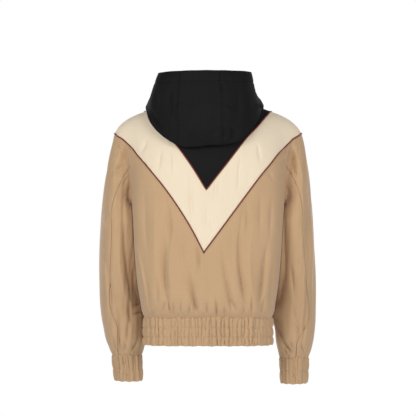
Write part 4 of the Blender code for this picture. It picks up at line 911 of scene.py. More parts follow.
# %% [markdown]
# ## Laying cloth over the form
# Each panel is cut as a grid: rows run between its two seams and columns follow the form. The grid is
# spaced in real millimetres, close together beside the seams, where the cloth turns in and the
# topstitching pulls a small groove, and wider in the open. Solidify then gives the cloth its thickness.
# Sheets could also be drawn as flat patterns and sewn by simulation, but placed creases need the
# form's own sizes.

# %% Spacing a patch in metres
CELL = (0.0024, 0.0058)     # usual distance between columns, and between rows: the folds run down
FRONT_CELL, YOKE_CELL, HOOD_CELL = (0.0040, 0.0080), (0.0034, 0.0060), (0.0028, 0.0040)
EDGE_STEPS = np.array([0.0, 0.0006, 0.0014, 0.0024, 0.0034, 0.0042, 0.0050, 0.0062])
SHARES = np.linspace(0.0, 1.0, 401)
STITCH_ROW = 5              # the edge step that the topstitching follows


def lengths(points, axis):
    """Running length along one axis of a grid of points."""
    step = np.linalg.norm(np.diff(points, axis=axis), axis=-1)
    zero = np.zeros_like(step[:1] if axis == 0 else step[:, :1])
    return np.concatenate([zero, np.cumsum(step, axis=axis)], axis=axis)


def edge_angle(edge, inner):
    """Sine of the angle between each column and the seam it starts from, the smaller one at a corner."""
    way = unit(inner - edge)
    runs = unit(np.diff(edge, axis=0))
    sides = np.stack([np.vstack([runs[:1], runs]), np.vstack([runs, runs[-1:]])])
    sine = np.sqrt(1 - np.clip((sides * way).sum(axis=-1), -1, 1) ** 2)
    return np.maximum(sine.min(axis=0), 0.35)


print("steps beside a seam:", (EDGE_STEPS * 1000).round(1), "mm")

# %% The rows and the columns of a panel
def lay_rows(smooth, low, high, size):
    """Heights over the lower seam, and v, of each row at every share, with the whole height and two sines."""
    vs = np.linspace(0, 1, 121)
    dense = smooth(SHARES[None, :], vs[:, None])
    run = lengths(dense, 0)
    sines = edge_angle(dense[0], dense[1]), edge_angle(dense[-1], dense[-2])
    start, end = (np.broadcast_to(inset, SHARES.shape) / sine for inset, sine in zip((low, high), sines))
    first = start[None] + EDGE_STEPS[:, None] / sines[0]
    last = run[-1] - end[None] - EDGE_STEPS[::-1][:, None] / sines[1]
    count = max(2, int(round(np.max(last[0] - first[-1]) / size)))
    t = np.linspace(0, 1, count + 1)[1:-1, None]
    heights = np.vstack([first, first[-1] * (1 - t) + last[0] * t, last])
    v_rows = np.stack([np.interp(heights[:, k], run[:, k], vs) for k in range(len(SHARES))], axis=1)
    return heights, v_rows, run[-1], sines


def lay_columns(row, left, right, stops, counts):
    """Places along one row: close together at its two ends, and even between its stops."""
    places = []
    final = len(counts) - 1
    for k, (a, b) in enumerate(zip(stops, stops[1:])):
        a, b = np.interp(a, SHARES, row), np.interp(b, SHARES, row)
        near = left + EDGE_STEPS if k == 0 else np.array([0.0])
        far = right + EDGE_STEPS[::-1] if k == final else np.array([0.0])
        inner = np.linspace(a + near[-1], b - far[0], counts[k] + 1)[1:-1]
        places += [a + near, inner] + ([b - far] if k == final else [])
    return np.concatenate(places)


def read_rows(u, table):
    """Each row of values at SHARES, read at that row's own places."""
    return np.stack([np.interp(places, SHARES, values) for places, values in zip(u, table)])


def lay_out(smooth, insets, cell, breaks=()):
    """(u, v) of every point of a panel, its distance from the four seams, and its place on the flat cloth."""
    low, high, left, right = insets
    heights, v_rows, tall, sines = lay_rows(smooth, low, high, cell[1])
    run = lengths(smooth(SHARES[None, :], v_rows), 1)
    stops = [0.0, *breaks, 1.0]
    sizes = np.diff(np.interp(stops, SHARES, run[len(run) // 2]))
    counts = [max(2, int(round(size / cell[0]))) for size in sizes]
    across = np.array([lay_columns(row, left, right, stops, counts) for row in run])
    u = np.stack([np.interp(places, row, SHARES) for places, row in zip(across, run)])
    v, up = read_rows(u, v_rows), read_rows(u, heights)
    sine_low, sine_high, inset_low, inset_high, whole = (
        np.interp(u, SHARES, np.broadcast_to(values, SHARES.shape)) for values in (*sines, low, high, tall))
    distance = {
        "low": up * sine_low - inset_low,
        "high": (whole - up) * sine_high - inset_high,
        "left": across - left,
        "right": (run[:, -1:] - right) - across,
    }
    return u, v, distance, np.stack([across, up], axis=-1)


print("a row has", len(EDGE_STEPS), "columns beside each seam")

# %% The cloth's section beside a seam
TURNED_IN = {"soft": 0.0003, "plain": 0.0009, "stitched": 0.0009}   # how far it sinks right at the seam
EDGE_REACH = 0.0012                         # how far from the seam that is felt
BULGE, BULGE_AT, BULGE_REACH = 0.00045, 0.0022, 0.0012      # beside a topstitch it stands out
GROOVE, GROOVE_REACH = 0.00050, 0.0008      # and under it it sinks


def seam_shape(distance, kind):
    """How far the cloth stands out beside a seam: it turns in at the edge, and a topstitch pinches it."""
    if kind == "none":
        return 0.0 * distance
    shape = -TURNED_IN[kind] * np.exp(-((distance / EDGE_REACH) ** 2))
    if kind == "stitched":
        shape = shape + BULGE * np.exp(-(((distance - BULGE_AT) / BULGE_REACH) ** 2))
        shape = shape - GROOVE * np.exp(-(((distance - EDGE_STEPS[STITCH_ROW]) / GROOVE_REACH) ** 2))
    return shape


pinched = seam_shape(EDGE_STEPS, "stitched") * 1000
print("a stitched seam stands out by", pinched.round(2), "mm")

# %% Turning a grid into cloth
WALL = 0.0012               # thickness of the cloth
SMOOTH_BELOW = math.radians(60)     # edges sharper than this stay sharp


def grid_normals(grid, flip):
    n = unit(np.cross(np.gradient(grid, axis=0), np.gradient(grid, axis=1)))
    return -n if flip else n


def built(name, points, faces, uv=None):
    """A selected object out of points and faces, with a UV place in metres for each corner."""
    mesh = bpy.data.meshes.new(name)
    mesh.from_pydata(points.reshape(-1, 3).tolist(), [], faces)
    if uv is not None:
        mesh.uv_layers.new(name="cloth").data.foreach_set("uv", uv.ravel())
    mesh.update()
    obj = bpy.data.objects.new(name, mesh)
    bpy.context.scene.collection.objects.link(obj)
    bpy.ops.object.select_all(action="DESELECT")
    obj.select_set(True)
    bpy.context.view_layer.objects.active = obj
    return obj


def corners(index):
    """The four corners of each face of a grid of point numbers."""
    return np.stack([index[:-1, :-1], index[1:, :-1], index[1:, 1:], index[:-1, 1:]], axis=-1).reshape(-1, 4)


def cloth(name, grid, uv, flip, wall=WALL, closed=False):
    """A thin wall inside a grid of points, with its own UV map in metres."""
    index, uv_index = (np.arange(a.shape[0] * a.shape[1]).reshape(a.shape[:2]) for a in (grid, uv))
    if closed:
        index = np.hstack([index, index[:, :1]])
    quads, uv_quads = corners(index), corners(uv_index)
    if flip:
        quads, uv_quads = quads[:, ::-1], uv_quads[:, ::-1]
    obj = built(name, grid, quads.tolist(), uv.reshape(-1, 2)[uv_quads.ravel()])
    thick = obj.modifiers.new("thickness", "SOLIDIFY")
    thick.thickness, thick.offset = wall, -1.0
    bpy.ops.object.modifier_apply(modifier=thick.name)
    bpy.ops.object.shade_smooth_by_angle(angle=SMOOTH_BELOW)
    return obj


def surface(grid):
    """Area of one face of a grid of points."""
    a, b = grid[1:, 1:] - grid[:-1, :-1], grid[1:, :-1] - grid[:-1, 1:]
    return float(np.linalg.norm(np.cross(a, b), axis=-1).sum() / 2)

# %% [markdown]
# ## Finishes
# The jacket is plain-woven cotton blend in three colours. Up close, such cloth is a fine grid of
# threads; from further off, it is a soft, slightly uneven colour that turns paler at grazing angles,
# because of its loose fibres. The grid and the unevenness are used by every cloth, so each is a node
# group; the paleness is the shader's own sheen.

# %% Helpers for node groups
def group(name, inputs, outputs):
    """An empty node group with number sockets."""
    made = bpy.data.node_groups.new(name, "ShaderNodeTree")
    for label, value in inputs.items():
        socket = made.interface.new_socket(name=label, in_out="INPUT", socket_type="NodeSocketFloat")
        socket.default_value = value
    for label in outputs:
        made.interface.new_socket(name=label, in_out="OUTPUT", socket_type="NodeSocketFloat")
    return made, made.nodes.new("NodeGroupInput"), made.nodes.new("NodeGroupOutput")


def math_node(tree, operation, first, second=None, third=None):
    node = tree.nodes.new("ShaderNodeMath")
    node.operation = operation
    for socket, value in zip(node.inputs, (first, second, third)):
        if isinstance(value, (int, float)):
            socket.default_value = value
        elif value is not None:
            tree.links.new(value, socket)
    return node.outputs[0]

# %% The weave and the dye
def weave_group():
    """Threads over and under each other, as a height, and each thread's own tone."""
    tree, given, out = group("plain weave", {"Threads per metre": 1600.0}, ("Height", "Tone"))
    uv, split = add_node(tree, "UVMap"), add_node(tree, "SeparateXYZ")
    uv.uv_map = "cloth"
    tree.links.new(uv.outputs[0], split.inputs[0])
    ways = [math_node(tree, "MULTIPLY", split.outputs[k], given.outputs[0]) for k in (0, 1)]
    waves = [math_node(tree, "SINE", math_node(tree, "MULTIPLY", way, math.pi)) for way in ways]
    height = math_node(tree, "MULTIPLY", waves[0], waves[1])
    tree.links.new(math_node(tree, "MULTIPLY_ADD", height, 0.5, 0.5), out.inputs["Height"])
    threads = []
    for way in ways:
        noise = add_node(tree, "TexNoise", Scale=0.35, Detail=1.0)
        noise.noise_dimensions = "1D"
        tree.links.new(way, noise.inputs["W"])
        threads.append(noise.outputs["Fac"])
    tone = math_node(tree, "ADD", threads[0], threads[1])
    tree.links.new(math_node(tree, "MULTIPLY", tone, 0.5), out.inputs["Tone"])
    return tree


def noise_at(tree, scale, detail=2.0):
    """Noise that follows the piece's own place in metres."""
    noise = add_node(tree, "TexNoise", Scale=scale, Detail=detail)
    tree.links.new(add_node(tree, "TexCoord").outputs["Object"], noise.inputs["Vector"])
    return noise


def mottle_group():
    """Slow unevenness of dyed cloth: broad clouds and small slubs."""
    tree, given, out = group("dyed cloth", {"Cloud scale": 9.0, "Slub scale": 220.0}, ("Tone", "Height"))
    clouds, slubs = noise_at(tree, 9.0, 3.0), noise_at(tree, 220.0, 2.0)
    for noise, scale in zip((clouds, slubs), given.outputs):
        tree.links.new(scale, noise.inputs["Scale"])
    small = math_node(tree, "MULTIPLY", slubs.outputs["Fac"], 0.35)
    tree.links.new(math_node(tree, "MULTIPLY_ADD", clouds.outputs["Fac"], 0.65, small), out.inputs["Tone"])
    tree.links.new(slubs.outputs["Fac"], out.inputs["Height"])
    return tree


WEAVE, MOTTLE = weave_group(), mottle_group()
print("node groups:", ", ".join(made.name for made in (WEAVE, MOTTLE)))

# %% The cloths
SHEEN_TINT = (0.82, 0.91, 1.0, 1.0)     # loose fibres look paler and cooler than the cloth
BUMP_DISTANCE = 0.0002


def finish(name, roughness, **values):
    """A material with constants on its shader's own sockets. A _ in a name stands for a space."""
    look = bpy.data.materials.new(name)
    look.use_nodes = True
    shader = look.node_tree.nodes["Principled BSDF"]
    shader.inputs["Roughness"].default_value = roughness
    shader.inputs["Sheen Roughness"].default_value = 0.5
    for socket, value in values.items():
        shader.inputs[socket.replace("_", " ")].default_value = value
    return look, look.node_tree, shader


def two_tones(tree, value, shader, dark, light, low=0.0, high=1.0):
    """Colours a shader between two tones by a value."""
    ramp = add_node(tree, "ValToRGB")
    for element, tone, place in zip(ramp.color_ramp.elements, (dark, light), (low, high)):
        element.color, element.position = (*tone, 1.0), place
    tree.links.new(value, ramp.inputs["Fac"])
    tree.links.new(ramp.outputs["Color"], shader.inputs["Base Color"])


def cloth_finish(name, dark, light, sheen, threads=1600.0, roughness=0.9, specular=0.25):
    """Woven cloth between two tones of one colour."""
    look, tree, shader = finish(
        name, roughness, Sheen_Weight=sheen, Sheen_Tint=SHEEN_TINT, Specular_IOR_Level=specular)
    weave, mottle = add_node(tree, "Group"), add_node(tree, "Group")
    weave.node_tree, mottle.node_tree = WEAVE, MOTTLE
    weave.inputs[0].default_value = threads
    broad = math_node(tree, "MULTIPLY", mottle.outputs["Tone"], 0.55)
    tone = math_node(tree, "MULTIPLY_ADD", weave.outputs["Tone"], 0.45, broad)
    two_tones(tree, tone, shader, dark, light, 0.30, 0.70)
    raised = add_node(tree, "Bump", Strength=0.25, Distance=BUMP_DISTANCE)
    height = math_node(tree, "MULTIPLY_ADD", mottle.outputs["Height"], 0.6, weave.outputs["Height"])
    tree.links.new(height, raised.inputs["Height"])
    tree.links.new(raised.outputs["Normal"], shader.inputs["Normal"])
    return look


BEIGE = cloth_finish("beige cotton", (0.50, 0.327, 0.184), (0.57, 0.377, 0.215), sheen=0.32)
CREAM = cloth_finish("cream cotton", (0.79, 0.670, 0.500), (0.86, 0.740, 0.565), sheen=0.05)
BLACK = cloth_finish("black cotton", (0.0112, 0.0111, 0.0118), (0.0170, 0.0168, 0.0179), sheen=0.0,
                     roughness=0.8, specular=0.02)
PIPING = cloth_finish("red-brown piping", (0.17, 0.032, 0.020), (0.24, 0.048, 0.030), sheen=0.05,
                      threads=2400.0)
TAPE = cloth_finish("zip tape", (0.014, 0.014, 0.014), (0.022, 0.022, 0.022), sheen=0.05, threads=2200.0)

# %% Thread and metal
def thread_finish(name, colour, specular=0.3):
    """Sewing thread, with painted light and shade: fine light and dark at random along a stitch stand in for
    its twisted plies.
    """
    look, tree, shader = finish(name, 0.7, Specular_IOR_Level=specular)
    dark, light = (tuple(share * c for c in colour) for share in (0.85, 1.1))
    # painted light and shade of the plies, at random along the thread
    two_tones(tree, noise_at(tree, 900.0).outputs["Fac"], shader, dark, light)
    return look


THREADS = {
    "beige": thread_finish("beige thread", (0.56, 0.40, 0.26)),
    "cream": thread_finish("cream thread", (0.82, 0.72, 0.56)),
    "black": thread_finish("black thread", (0.005, 0.005, 0.006), 0.05),
}


def metal_finish():
    """Dark cast metal, brighter where it rubs."""
    look, tree, shader = finish("dark metal", 0.4, Metallic=1.0)
    worn = noise_at(tree, 350.0, 4.0).outputs["Fac"]
    two_tones(tree, worn, shader, (0.07, 0.063, 0.060), (0.20, 0.185, 0.17), 0.35, 0.75)
    tree.links.new(math_node(tree, "MULTIPLY_ADD", worn, 0.35, 0.2), shader.inputs["Roughness"])
    return look


METAL = metal_finish()
print("finishes:", ", ".join(made.name for made in bpy.data.materials if made.users))

# %% [markdown]
# ## Panels of the trunk
# The back is one piece under the chevron, and each front is its mirror with a straight edge at the
# zip. Where a V seam holds piping, the panels stop short of it. The seams beside the piping are
# topstitched, which is the pale ridge that runs along both sides of each V.

# %% Seam sizes, and how a piece gets its finish and body
SEAM = 0.00002              # half the gap between two pieces that are sewn together
PIPING_RADIUS = 0.0015
PIPING_PROUD = 0.0004       # how far its middle stands over the cloth's face
PIPED = PIPING_RADIUS + 2 * SEAM
HALF_ZIP = 0.0056           # from the middle of the front to a front panel's edge
OPEN_SEAM = 0.0009          # half the gap of a seam that shows as a fine dark line
LAID = {}                   # each panel's grid of points and their normals, for its stitching


def wear(obj, look, node=None):
    """Gives a piece its finish and its body, and hides the frame's part that it stands for."""
    obj.data.materials.append(look)
    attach(obj, "jacket")
    if node:
        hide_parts(node)


def declare(obj, node, look, flat, area):
    """Gives a piece its finish and body, hides the part it stands for, and prints what it was cut to."""
    wear(obj, look, node)
    print(node, "cut", flat, "m,", len(obj.data.polygons), "faces")


print("piping is", 2000 * PIPING_RADIUS, "mm thick")

# %% Sewing one panel
def sew(node, smooth, creased, insets, kinds, look, flip, full=1.0, breaks=(), cell=CELL,
        extra=None, laid_flat=None):
    u, v, distance, uv = lay_out(smooth, insets, cell, breaks)
    grid = creased(u, v)
    out = sum(seam_shape(distance[edge], kind) for edge, kind in zip(("low", "high", "left", "right"), kinds))
    if extra is not None:
        out = out + extra(u, v, grid)
    grid = grid + grid_normals(grid, flip) * out[..., None]
    plain = smooth(u, v)
    spans = lengths(plain, 1)[:, -1].max(), lengths(plain, 0)[-1].max()
    width, height = laid_flat(u, v) if laid_flat else spans
    obj = cloth(node + "_cloth", grid, uv, flip)
    flat = (round(width * full, 3), round(height, 3))
    declare(obj, node, look, flat, round(min(surface(plain) * full, flat[0] * flat[1]), 4))
    LAID[node] = grid, grid_normals(grid, flip)

# %% The lines between panels
def signed(line, side):
    return line * np.array([SIGN[side], 1.0])


def both_ways(make, face):
    """A line from the wearer's right to the left, out of its two halves, at the shares of a panel."""
    c = np.abs(2 * SHARES - 1)
    halves = {side: signed(make(face, side, c), side) for side in SIGN}
    return np.where((SHARES < 0.5)[:, None], halves["right"], halves["left"])


def hem_line(face, side, c):
    return np.stack([c, 0 * c], axis=-1)


JUNCTION = 0.4              # share of a lower panel's top that lies along the V seam


def top_line(face, side, c):
    junction = junction_share(face, side)
    on_v = v_line(OUTER_V, face, side, SHOULDER_X, junction * np.clip(c / JUNCTION, 0, 1))
    low = np.clip((c - JUNCTION) / (1 - JUNCTION), 0, 1)
    on_arm = armhole(face, side, V_SHARE + (1 - V_SHARE) * low)
    return np.where((c <= JUNCTION)[:, None], on_v, on_arm)


def outer_line(face, side, c):
    junction = junction_share(face, side)
    share = np.where(c < 0.75, junction * c / 0.75, junction + (1 - junction) * (c - 0.75) / 0.25)
    return v_line(OUTER_V, face, side, SHOULDER_X, share)


def inner_line(face, side, c):
    return v_line(INNER_V, face, side, INNER_V_X, c)


def neck_half(face, side, c):
    return neck(face, c)


print("the V seam takes", JUNCTION, "of a lower panel's top")

# %% A patch between two lines
def between(face, low, high):
    """The patch of the trunk between two lines of (s, w), smooth and creased."""
    def place(u, v):
        lower, upper = ([np.interp(u, SHARES, line[:, k]) for k in (0, 1)] for line in (low, high))
        return [a * (1 - v) + b * v for a, b in zip(lower, upper)]

    def laid_flat(u, v):
        """Width round the chest and height up the trunk of the panel's cut."""
        s, w = place(u, v)
        chest = lengths(smooth_trunk(face, SHARES, 1.0)[:, None], 0)[:, 0]
        rise = lengths(smooth_trunk(face, 0.5, 2 * SHARES)[:, None], 0)[:, 0]
        return np.ptp(np.sign(s) * np.interp(np.abs(s), SHARES, chest)), np.ptp(np.interp(w, 2 * SHARES, rise))

    def smooth(u, v):
        return smooth_trunk(face, *place(u, v))

    def creased(u, v):
        return trunk(face, *place(u, v))

    return smooth, creased, laid_flat

# %% The back
BODY_FULL, SLEEVE_FULL = 1.12, 1.05     # how much wider than its form a pleated panel is cut


def top_insets(c):
    return np.where(c < JUNCTION, PIPED, SEAM)


for node, low, high, insets, kinds, look, full, breaks in (
    ("body_back", hem_line, top_line, (SEAM, top_insets(np.abs(2 * SHARES - 1)), SEAM, SEAM),
     ("soft", "stitched", "plain", "plain"), BEIGE, BODY_FULL, (0.3, 0.5, 0.7)),
    ("band_back", outer_line, inner_line, (PIPED, PIPED, SEAM, SEAM),
     ("stitched", "stitched", "plain", "plain"), CREAM, 1.0, (0.5,)),
    ("yoke_back", inner_line, neck_half, (PIPED, SEAM, SEAM, SEAM),
     ("stitched", "plain", "plain", "plain"), BLACK, 1.0, (0.5,)),
):
    smooth, creased, size = between("back", both_ways(low, "back"), both_ways(high, "back"))
    sew(node, smooth, creased, insets, kinds, look, False, full=full, breaks=breaks,
        cell=YOKE_CELL if look == BLACK else CELL, laid_flat=size)

# %% The fronts
for side in SIGN:
    for node, low, high, insets, kinds, look, full, breaks in (
        ("front_" + side, hem_line, top_line, (SEAM, top_insets(SHARES), HALF_ZIP, SEAM),
         ("soft", "stitched", "stitched", "plain"), BEIGE, BODY_FULL, (0.4,)),
        ("band_front_" + side, outer_line, inner_line, (PIPED, PIPED, HALF_ZIP, SEAM),
         ("stitched", "stitched", "stitched", "plain"), CREAM, 1.0, ()),
        ("yoke_front_" + side, inner_line, neck_half, (PIPED, SEAM, HALF_ZIP, SEAM),
         ("stitched", "plain", "stitched", "plain"), BLACK, 1.0, ()),
    ):
        lines = [signed(line("front", side, SHARES), side) for line in (low, high)]
        smooth, creased, size = between("front", *lines)
        sew(node, smooth, creased, insets, kinds, look, side == "left", full=full, breaks=breaks,
            cell=FRONT_CELL, laid_flat=size)

# %% [markdown]
# ## Sleeves
# Each sleeve is cut in two: a wide upper sleeve, and an under sleeve between its two seams. The back
# seam wanders where the arm bends. Folds gather where the sleeve leans on the body and above the cuff.

# %% Upper and under sleeves
HEAD_CORNERS = 0.2667 / 0.6, 0.4667 / 0.6   # where the armhole turns off the V seam, across an upper sleeve

for side in SIGN:
    for node, kind, edges, breaks in (
        ("sleeve_upper_", "plain", (("front", -1), ("back", 0)), HEAD_CORNERS),
        ("sleeve_under_", "stitched", (("back", 0), ("front", 0)), ()),
    ):
        def place(u, v):
            first, last = (along(SLEEVE_SEAMS[side], SEAM_COLUMNS, name, v) + turn for name, turn in edges)
            return first + (last - first) * u

        def smooth(u, v):
            return sleeve(side, place(u, v), v, creased=False)

        def creased(u, v):
            return sleeve(side, place(u, v), v)

        from_tip = np.abs((place(SHARES, 0 * SHARES) + 0.5) % 1.0 - 0.5)
        head = np.where(from_tip < V_SHARE / 2, PIPED, SEAM)
        sew(
            node + side, smooth, creased, (head, SEAM, OPEN_SEAM if kind == "stitched" else SEAM, SEAM),
            ("plain", "soft", kind, "plain"), BEIGE, side == "right", full=SLEEVE_FULL, breaks=breaks,
        )

# %% [markdown]
# ## Hem band and cuffs
# Both are strips of the same beige cloth, folded double over an elastic and stitched through in rows,
# which divides them into channels. The puffs between the gathers are highest in the middle of a
# channel and pinched at the rows of stitching. A lip at the top turns in behind the seam, as a seam
# allowance does, so that nobody looks through the gap.

# %% Puffed channels
GATHERED_WALL = 0.0016
GATHER_CELL = 0.0011        # distance between the columns of gathered cloth


def valleys(length, gaps, rows, channels, rng):
    """Share of the way across its puff (0 to 1), and the puff's number, at every row and column."""
    edges = [0.0]
    while edges[-1] < length - gaps[0]:
        edges.append(edges[-1] + rng.uniform(*gaps))
    edges = np.array(edges) * length / edges[-1]
    count = len(edges) - 1
    knots = np.linspace(0, 1, 2 * channels + 1)
    lean = rng.normal(0, 0.0016, (1, count + 1)) * (knots[:, None] - 0.5) * 2
    wander = rng.normal(0, 0.0011, (len(knots), count + 1)) + lean
    wander[:, 0] = wander[:, -1] = 0.0
    columns = np.linspace(0, length, max(8, int(round(length / GATHER_CELL))) + 1)
    inside, puff, width = (np.zeros((len(rows), len(columns))) for _ in range(3))
    for i, share in enumerate(rows):
        moved = edges + np.array([np.interp(share, knots, wander[:, k]) for k in range(count + 1)])
        moved = np.maximum.accumulate(moved + np.arange(count + 1) * 1e-6)
        at = np.interp(columns, moved, np.arange(count + 1))
        puff[i] = np.clip(at.astype(int), 0, count - 1)
        inside[i] = np.clip(at - puff[i], 0, 1)
        width[i] = np.diff(moved)[puff[i].astype(int)]
    return columns, inside, puff.astype(int), width

# %% Puffs from valleys
def gathered(length, rows, channels, seed, height, gaps):
    """How far gathered cloth stands out: puffs with sharp valleys, and small wrinkles across them."""
    rng = np.random.default_rng(seed)
    swell = np.sin(math.pi * ((rows * channels) % 1.0)) ** 0.6
    columns, inside, puff, width = valleys(length, gaps, rows, channels, rng)
    strength = rng.uniform(0.35, 1.15, puff.max() + 1)[puff]
    out = height * strength * np.clip(width / np.mean(gaps), 0.4, 1.3) * np.sin(math.pi * inside) ** 0.42
    _, inside, puff, width = valleys(length, [0.55 * g for g in gaps], rows, channels, rng)
    small = rng.uniform(0.0, 1.0, puff.max() + 1)[puff] * np.sin(math.pi * inside) ** 0.5
    return columns, (out + 0.30 * height * small) * (0.80 + 0.20 * swell[:, None])


def channel_rows(channels, per_channel):
    """Rows closer together at each line of stitching."""
    t = (1 - np.cos(math.pi * np.linspace(0, 1, per_channel + 1))) / 2
    return np.unique(np.concatenate([(k + t) / channels for k in range(channels)]))


def at_lengths(line, run, places):
    """The points of a line, or their normals, at these lengths along it."""
    return np.stack([np.interp(places, run, line[:, k]) for k in range(3)], axis=-1)

# %% What the hem band and the cuffs share
HEM_FULL = 1.35             # the strip is cut this much longer than it measures when gathered
SEAM_DROP = 0.0018          # the strip starts this far under its seam
TOP_SWELL, SWELL_REACH = 0.0014, 0.004      # how far it stands out beside the seam, and how far down
LIP_IN = 0.0020             # how far the lip lies behind the strip's face
HEM_LIP, CUFF_LIP = 0.0045, 0.0040          # how far it stands up


def puffed(rows, channels, puffs, rounding, inset, top, bottom):
    """How far each point of a strip stands out from its ring, and each row's height."""
    rounded_out = rounding * np.sqrt(np.clip(np.sin(math.pi * ((rows * channels) % 1.0)), 0, 1))
    out = puffs + rounded_out[:, None] - inset
    out = out + TOP_SWELL * np.exp(-(rows * (top - bottom) / SWELL_REACH) ** 2)[:, None]
    start = top - SEAM_DROP
    return out, start - (start - bottom) * rows


def strip(node, grid, ways, columns, drop, length, height, lip, flip, closed=False):
    """Cloth for a gathered strip with its lip, and what it was cut to."""
    uv = np.stack(np.broadcast_arrays(columns[None] * HEM_FULL, -drop[:, None]), axis=-1)
    tucked = grid[:1] - LIP_IN * ways[None] + np.array([0.0, 0.0, lip])
    points, uv = np.vstack([tucked, grid]), np.vstack([uv[:1] + np.array([0.0, lip]), uv])
    obj = cloth(node + "_cloth", points, uv, flip, GATHERED_WALL, closed)
    declare(obj, node, BEIGE, (round(length * HEM_FULL, 3), round(height, 3)), None)
    LAID[node] = grid, grid_normals(grid, flip)

# %% The hem band
BACK_REACH = 0.112          # how far back the hem seam reaches: the band hangs lowest there
HEM_RISE, HEM_WAVE = 0.0040, 0.0010         # how far its lower edge rises towards the front, and wavers
HEM_CHANNELS, CUFF_CHANNELS = 3, 2
turns = np.linspace(0, 1, 241)
route = [("front", -turns), ("back", -turns[::-1][1:]), ("back", turns[1:]), ("front", turns[::-1][1:])]
hem_ring, hem_ways, creased_ring = (
    np.vstack([form(face, s, 0.0 * s) for face, s in route]) for form in (smooth_trunk, trunk_normal, trunk))
run = lengths(hem_ring[:, None], 0)[:, 0]
rows = channel_rows(HEM_CHANNELS, 7)
whole = run[-1] - 2 * HALF_ZIP
columns, puffs = gathered(whole, rows, HEM_CHANNELS, seed=3, height=0.0066, gaps=(0.0040, 0.0150))
ring_points, ring_ways, pulled = (
    at_lengths(line, run, columns + HALF_ZIP) for line in (hem_ring, hem_ways, creased_ring - hem_ring))
ring_ways = unit(ring_ways)
out, drop = puffed(
    rows, HEM_CHANNELS, puffs, rounding=0.0010, inset=0.0046, top=HEM_SEAM, bottom=HEM_BOTTOM)
ends = ease(np.minimum(columns, whole - columns) / 0.010)
grid = ring_points[None] + ring_ways[None] * (out * (0.3 + 0.7 * ends))[..., None]
grid = grid + pulled[None] * np.exp(-((HEM_SEAM - drop) / 0.008) ** 2)[:, None, None]
ahead = np.clip(ring_points[:, 1] / BACK_REACH, 0, 1)
hang = HEM_RISE * (1 - ease(ahead)) + HEM_WAVE * np.sin(columns * 190) * np.sin(columns * 73)
grid[..., 2] = drop[:, None] + hang[None] * rows[:, None] ** 3
strip("hem_band", grid, ring_ways, columns, drop, whole, HEM_SEAM - HEM_BOTTOM, lip=HEM_LIP, flip=True)

# %% The cuffs
CUFF_TILT, CUFF_WAVE = 0.0040, 0.0008       # how far the lower edge rises towards the front, and wavers

for side, seed, sway, narrowing in (("left", 31, 0.0040, 0.0035), ("right", 47, -0.0005, 0.0036)):
    top, bottom = SLEEVE[side][-1][0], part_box("cuff_" + side)[0].z
    angles = np.linspace(0, 360, 241)
    ring_line = sleeve_ring(side, np.full(angles.shape, top), angles)
    run = lengths(ring_line[:, None], 0)[:, 0]
    rows = channel_rows(CUFF_CHANNELS, 10)
    columns, puffs = gathered(run[-1], rows, CUFF_CHANNELS, seed, height=0.0058, gaps=(0.0050, 0.0140))
    points, centre = at_lengths(ring_line, run, columns[:-1]), ring_line[:-1].mean(axis=0)
    ways = unit((points - centre) * np.array([1, 1, 0]))
    out, drop = puffed(
        rows, CUFF_CHANNELS, puffs[:, :-1], rounding=0.0008, inset=0.0042, top=top, bottom=bottom)
    grid = points[None] + ways[None] * (out - narrowing * rows[:, None])[..., None]
    grid[..., 0] -= SIGN[side] * sway * rows[:, None]
    half_depth = SLEEVE[side][-1][-1]
    tilt = CUFF_TILT * (centre[1] - points[:, 1]) / half_depth + CUFF_WAVE * np.sin(columns[:-1] * 260)
    grid[..., 2] = drop[:, None] + tilt[None] * rows[:, None] ** 2
    strip("cuff_" + side, grid, ways, columns, drop, run[-1], top - bottom,
          lip=CUFF_LIP, flip=side == "right", closed=True)

# %% [markdown]
# ## The hood's cloth
# Two sides and a centre strip, in black. The bag of the hood lies on the yoke and its rim stands open,
# with a turned hem that is stitched down 31 mm below the edge. The strip runs on a little beneath the
# two sides, so that each of its seams shows as a fine dark line with cloth behind it.

# %% The creases of the hood, in millimetres
HOOD_CREASES = (
    (-37.8, 92, -49, 59, -43.2, 34, 0.5, 7.5, -1.5),
    (-33, 92, -40.5, 59, -36, 34, 0.5, 6.7, 1.9),
    (-54, 113, -61, 97, -68, 80, 0.5, 8.3, -1.2),
    (-75.6, 92, -86.4, 32, -74, -50, 0.5, 27, 4.8),
    (-35, 26, -52, 10, -74, -9, 0.55, 8.3, -2),
    (-74, -6, -60, -16, -43, -27, 0.4, 7.5, -1.5),
    (-37.8, -20, -56.7, -54, -44, -90, 0.5, 7.5, -2),
    (-37.8, -30, -44, -56, -37.8, -86, 0.5, 7.2, 3),
    (-63, -36, -70, -60, -62, -86, 0.5, 9, 2.4),
    (-94.5, -38, -87, -55, -79, -72, 0.5, 6.7, -1.3),
    (-134, 34, -135, 18, -138, 2, 0.5, 6, -1.8),
    (-140, 34, -141.5, 18, -145, 2, 0.5, 6, 3),
    (94.5, 78, 106, 38, 90, -18, 0.5, 13.5, 3.6),
    (94.5, 26, 91.5, 0, 97.5, -24, 0.5, 7.5, -2),
    (83, 48, 85, 26, 87, 3, 0.5, 6.7, 1.9),
    (108, 102, 100, 95, 89, 86, 0.5, 6.7, -1.4),
    (159, 16, 144, -22, 121, -62, 0.5, 6.7, 4.5),
    (135, 70, 142, 30, 133, -10, 0.5, 13.5, 2.1),
    (8, -42, -8, -16, -24, 12, 0.5, 13.5, -1.1),
    (0, -75, -10, -60, -22, -42, 0.5, 12, 1.5),
    (30, 80, 34, 30, 32, -40, 0.5, 16.5, 1),
)
HOOD_CREASES = in_metres(HOOD_CREASES, CREASE_COLUMNS, PEAK)
print("creases of the hood:", len(HOOD_CREASES))

# %% The hood's surface
HOOD_TURNS = np.linspace(-1, 1, 401)
HOOD_VS = np.linspace(0, 1, 161)
HOOD_GRID = hood(HOOD_TURNS, HOOD_VS)


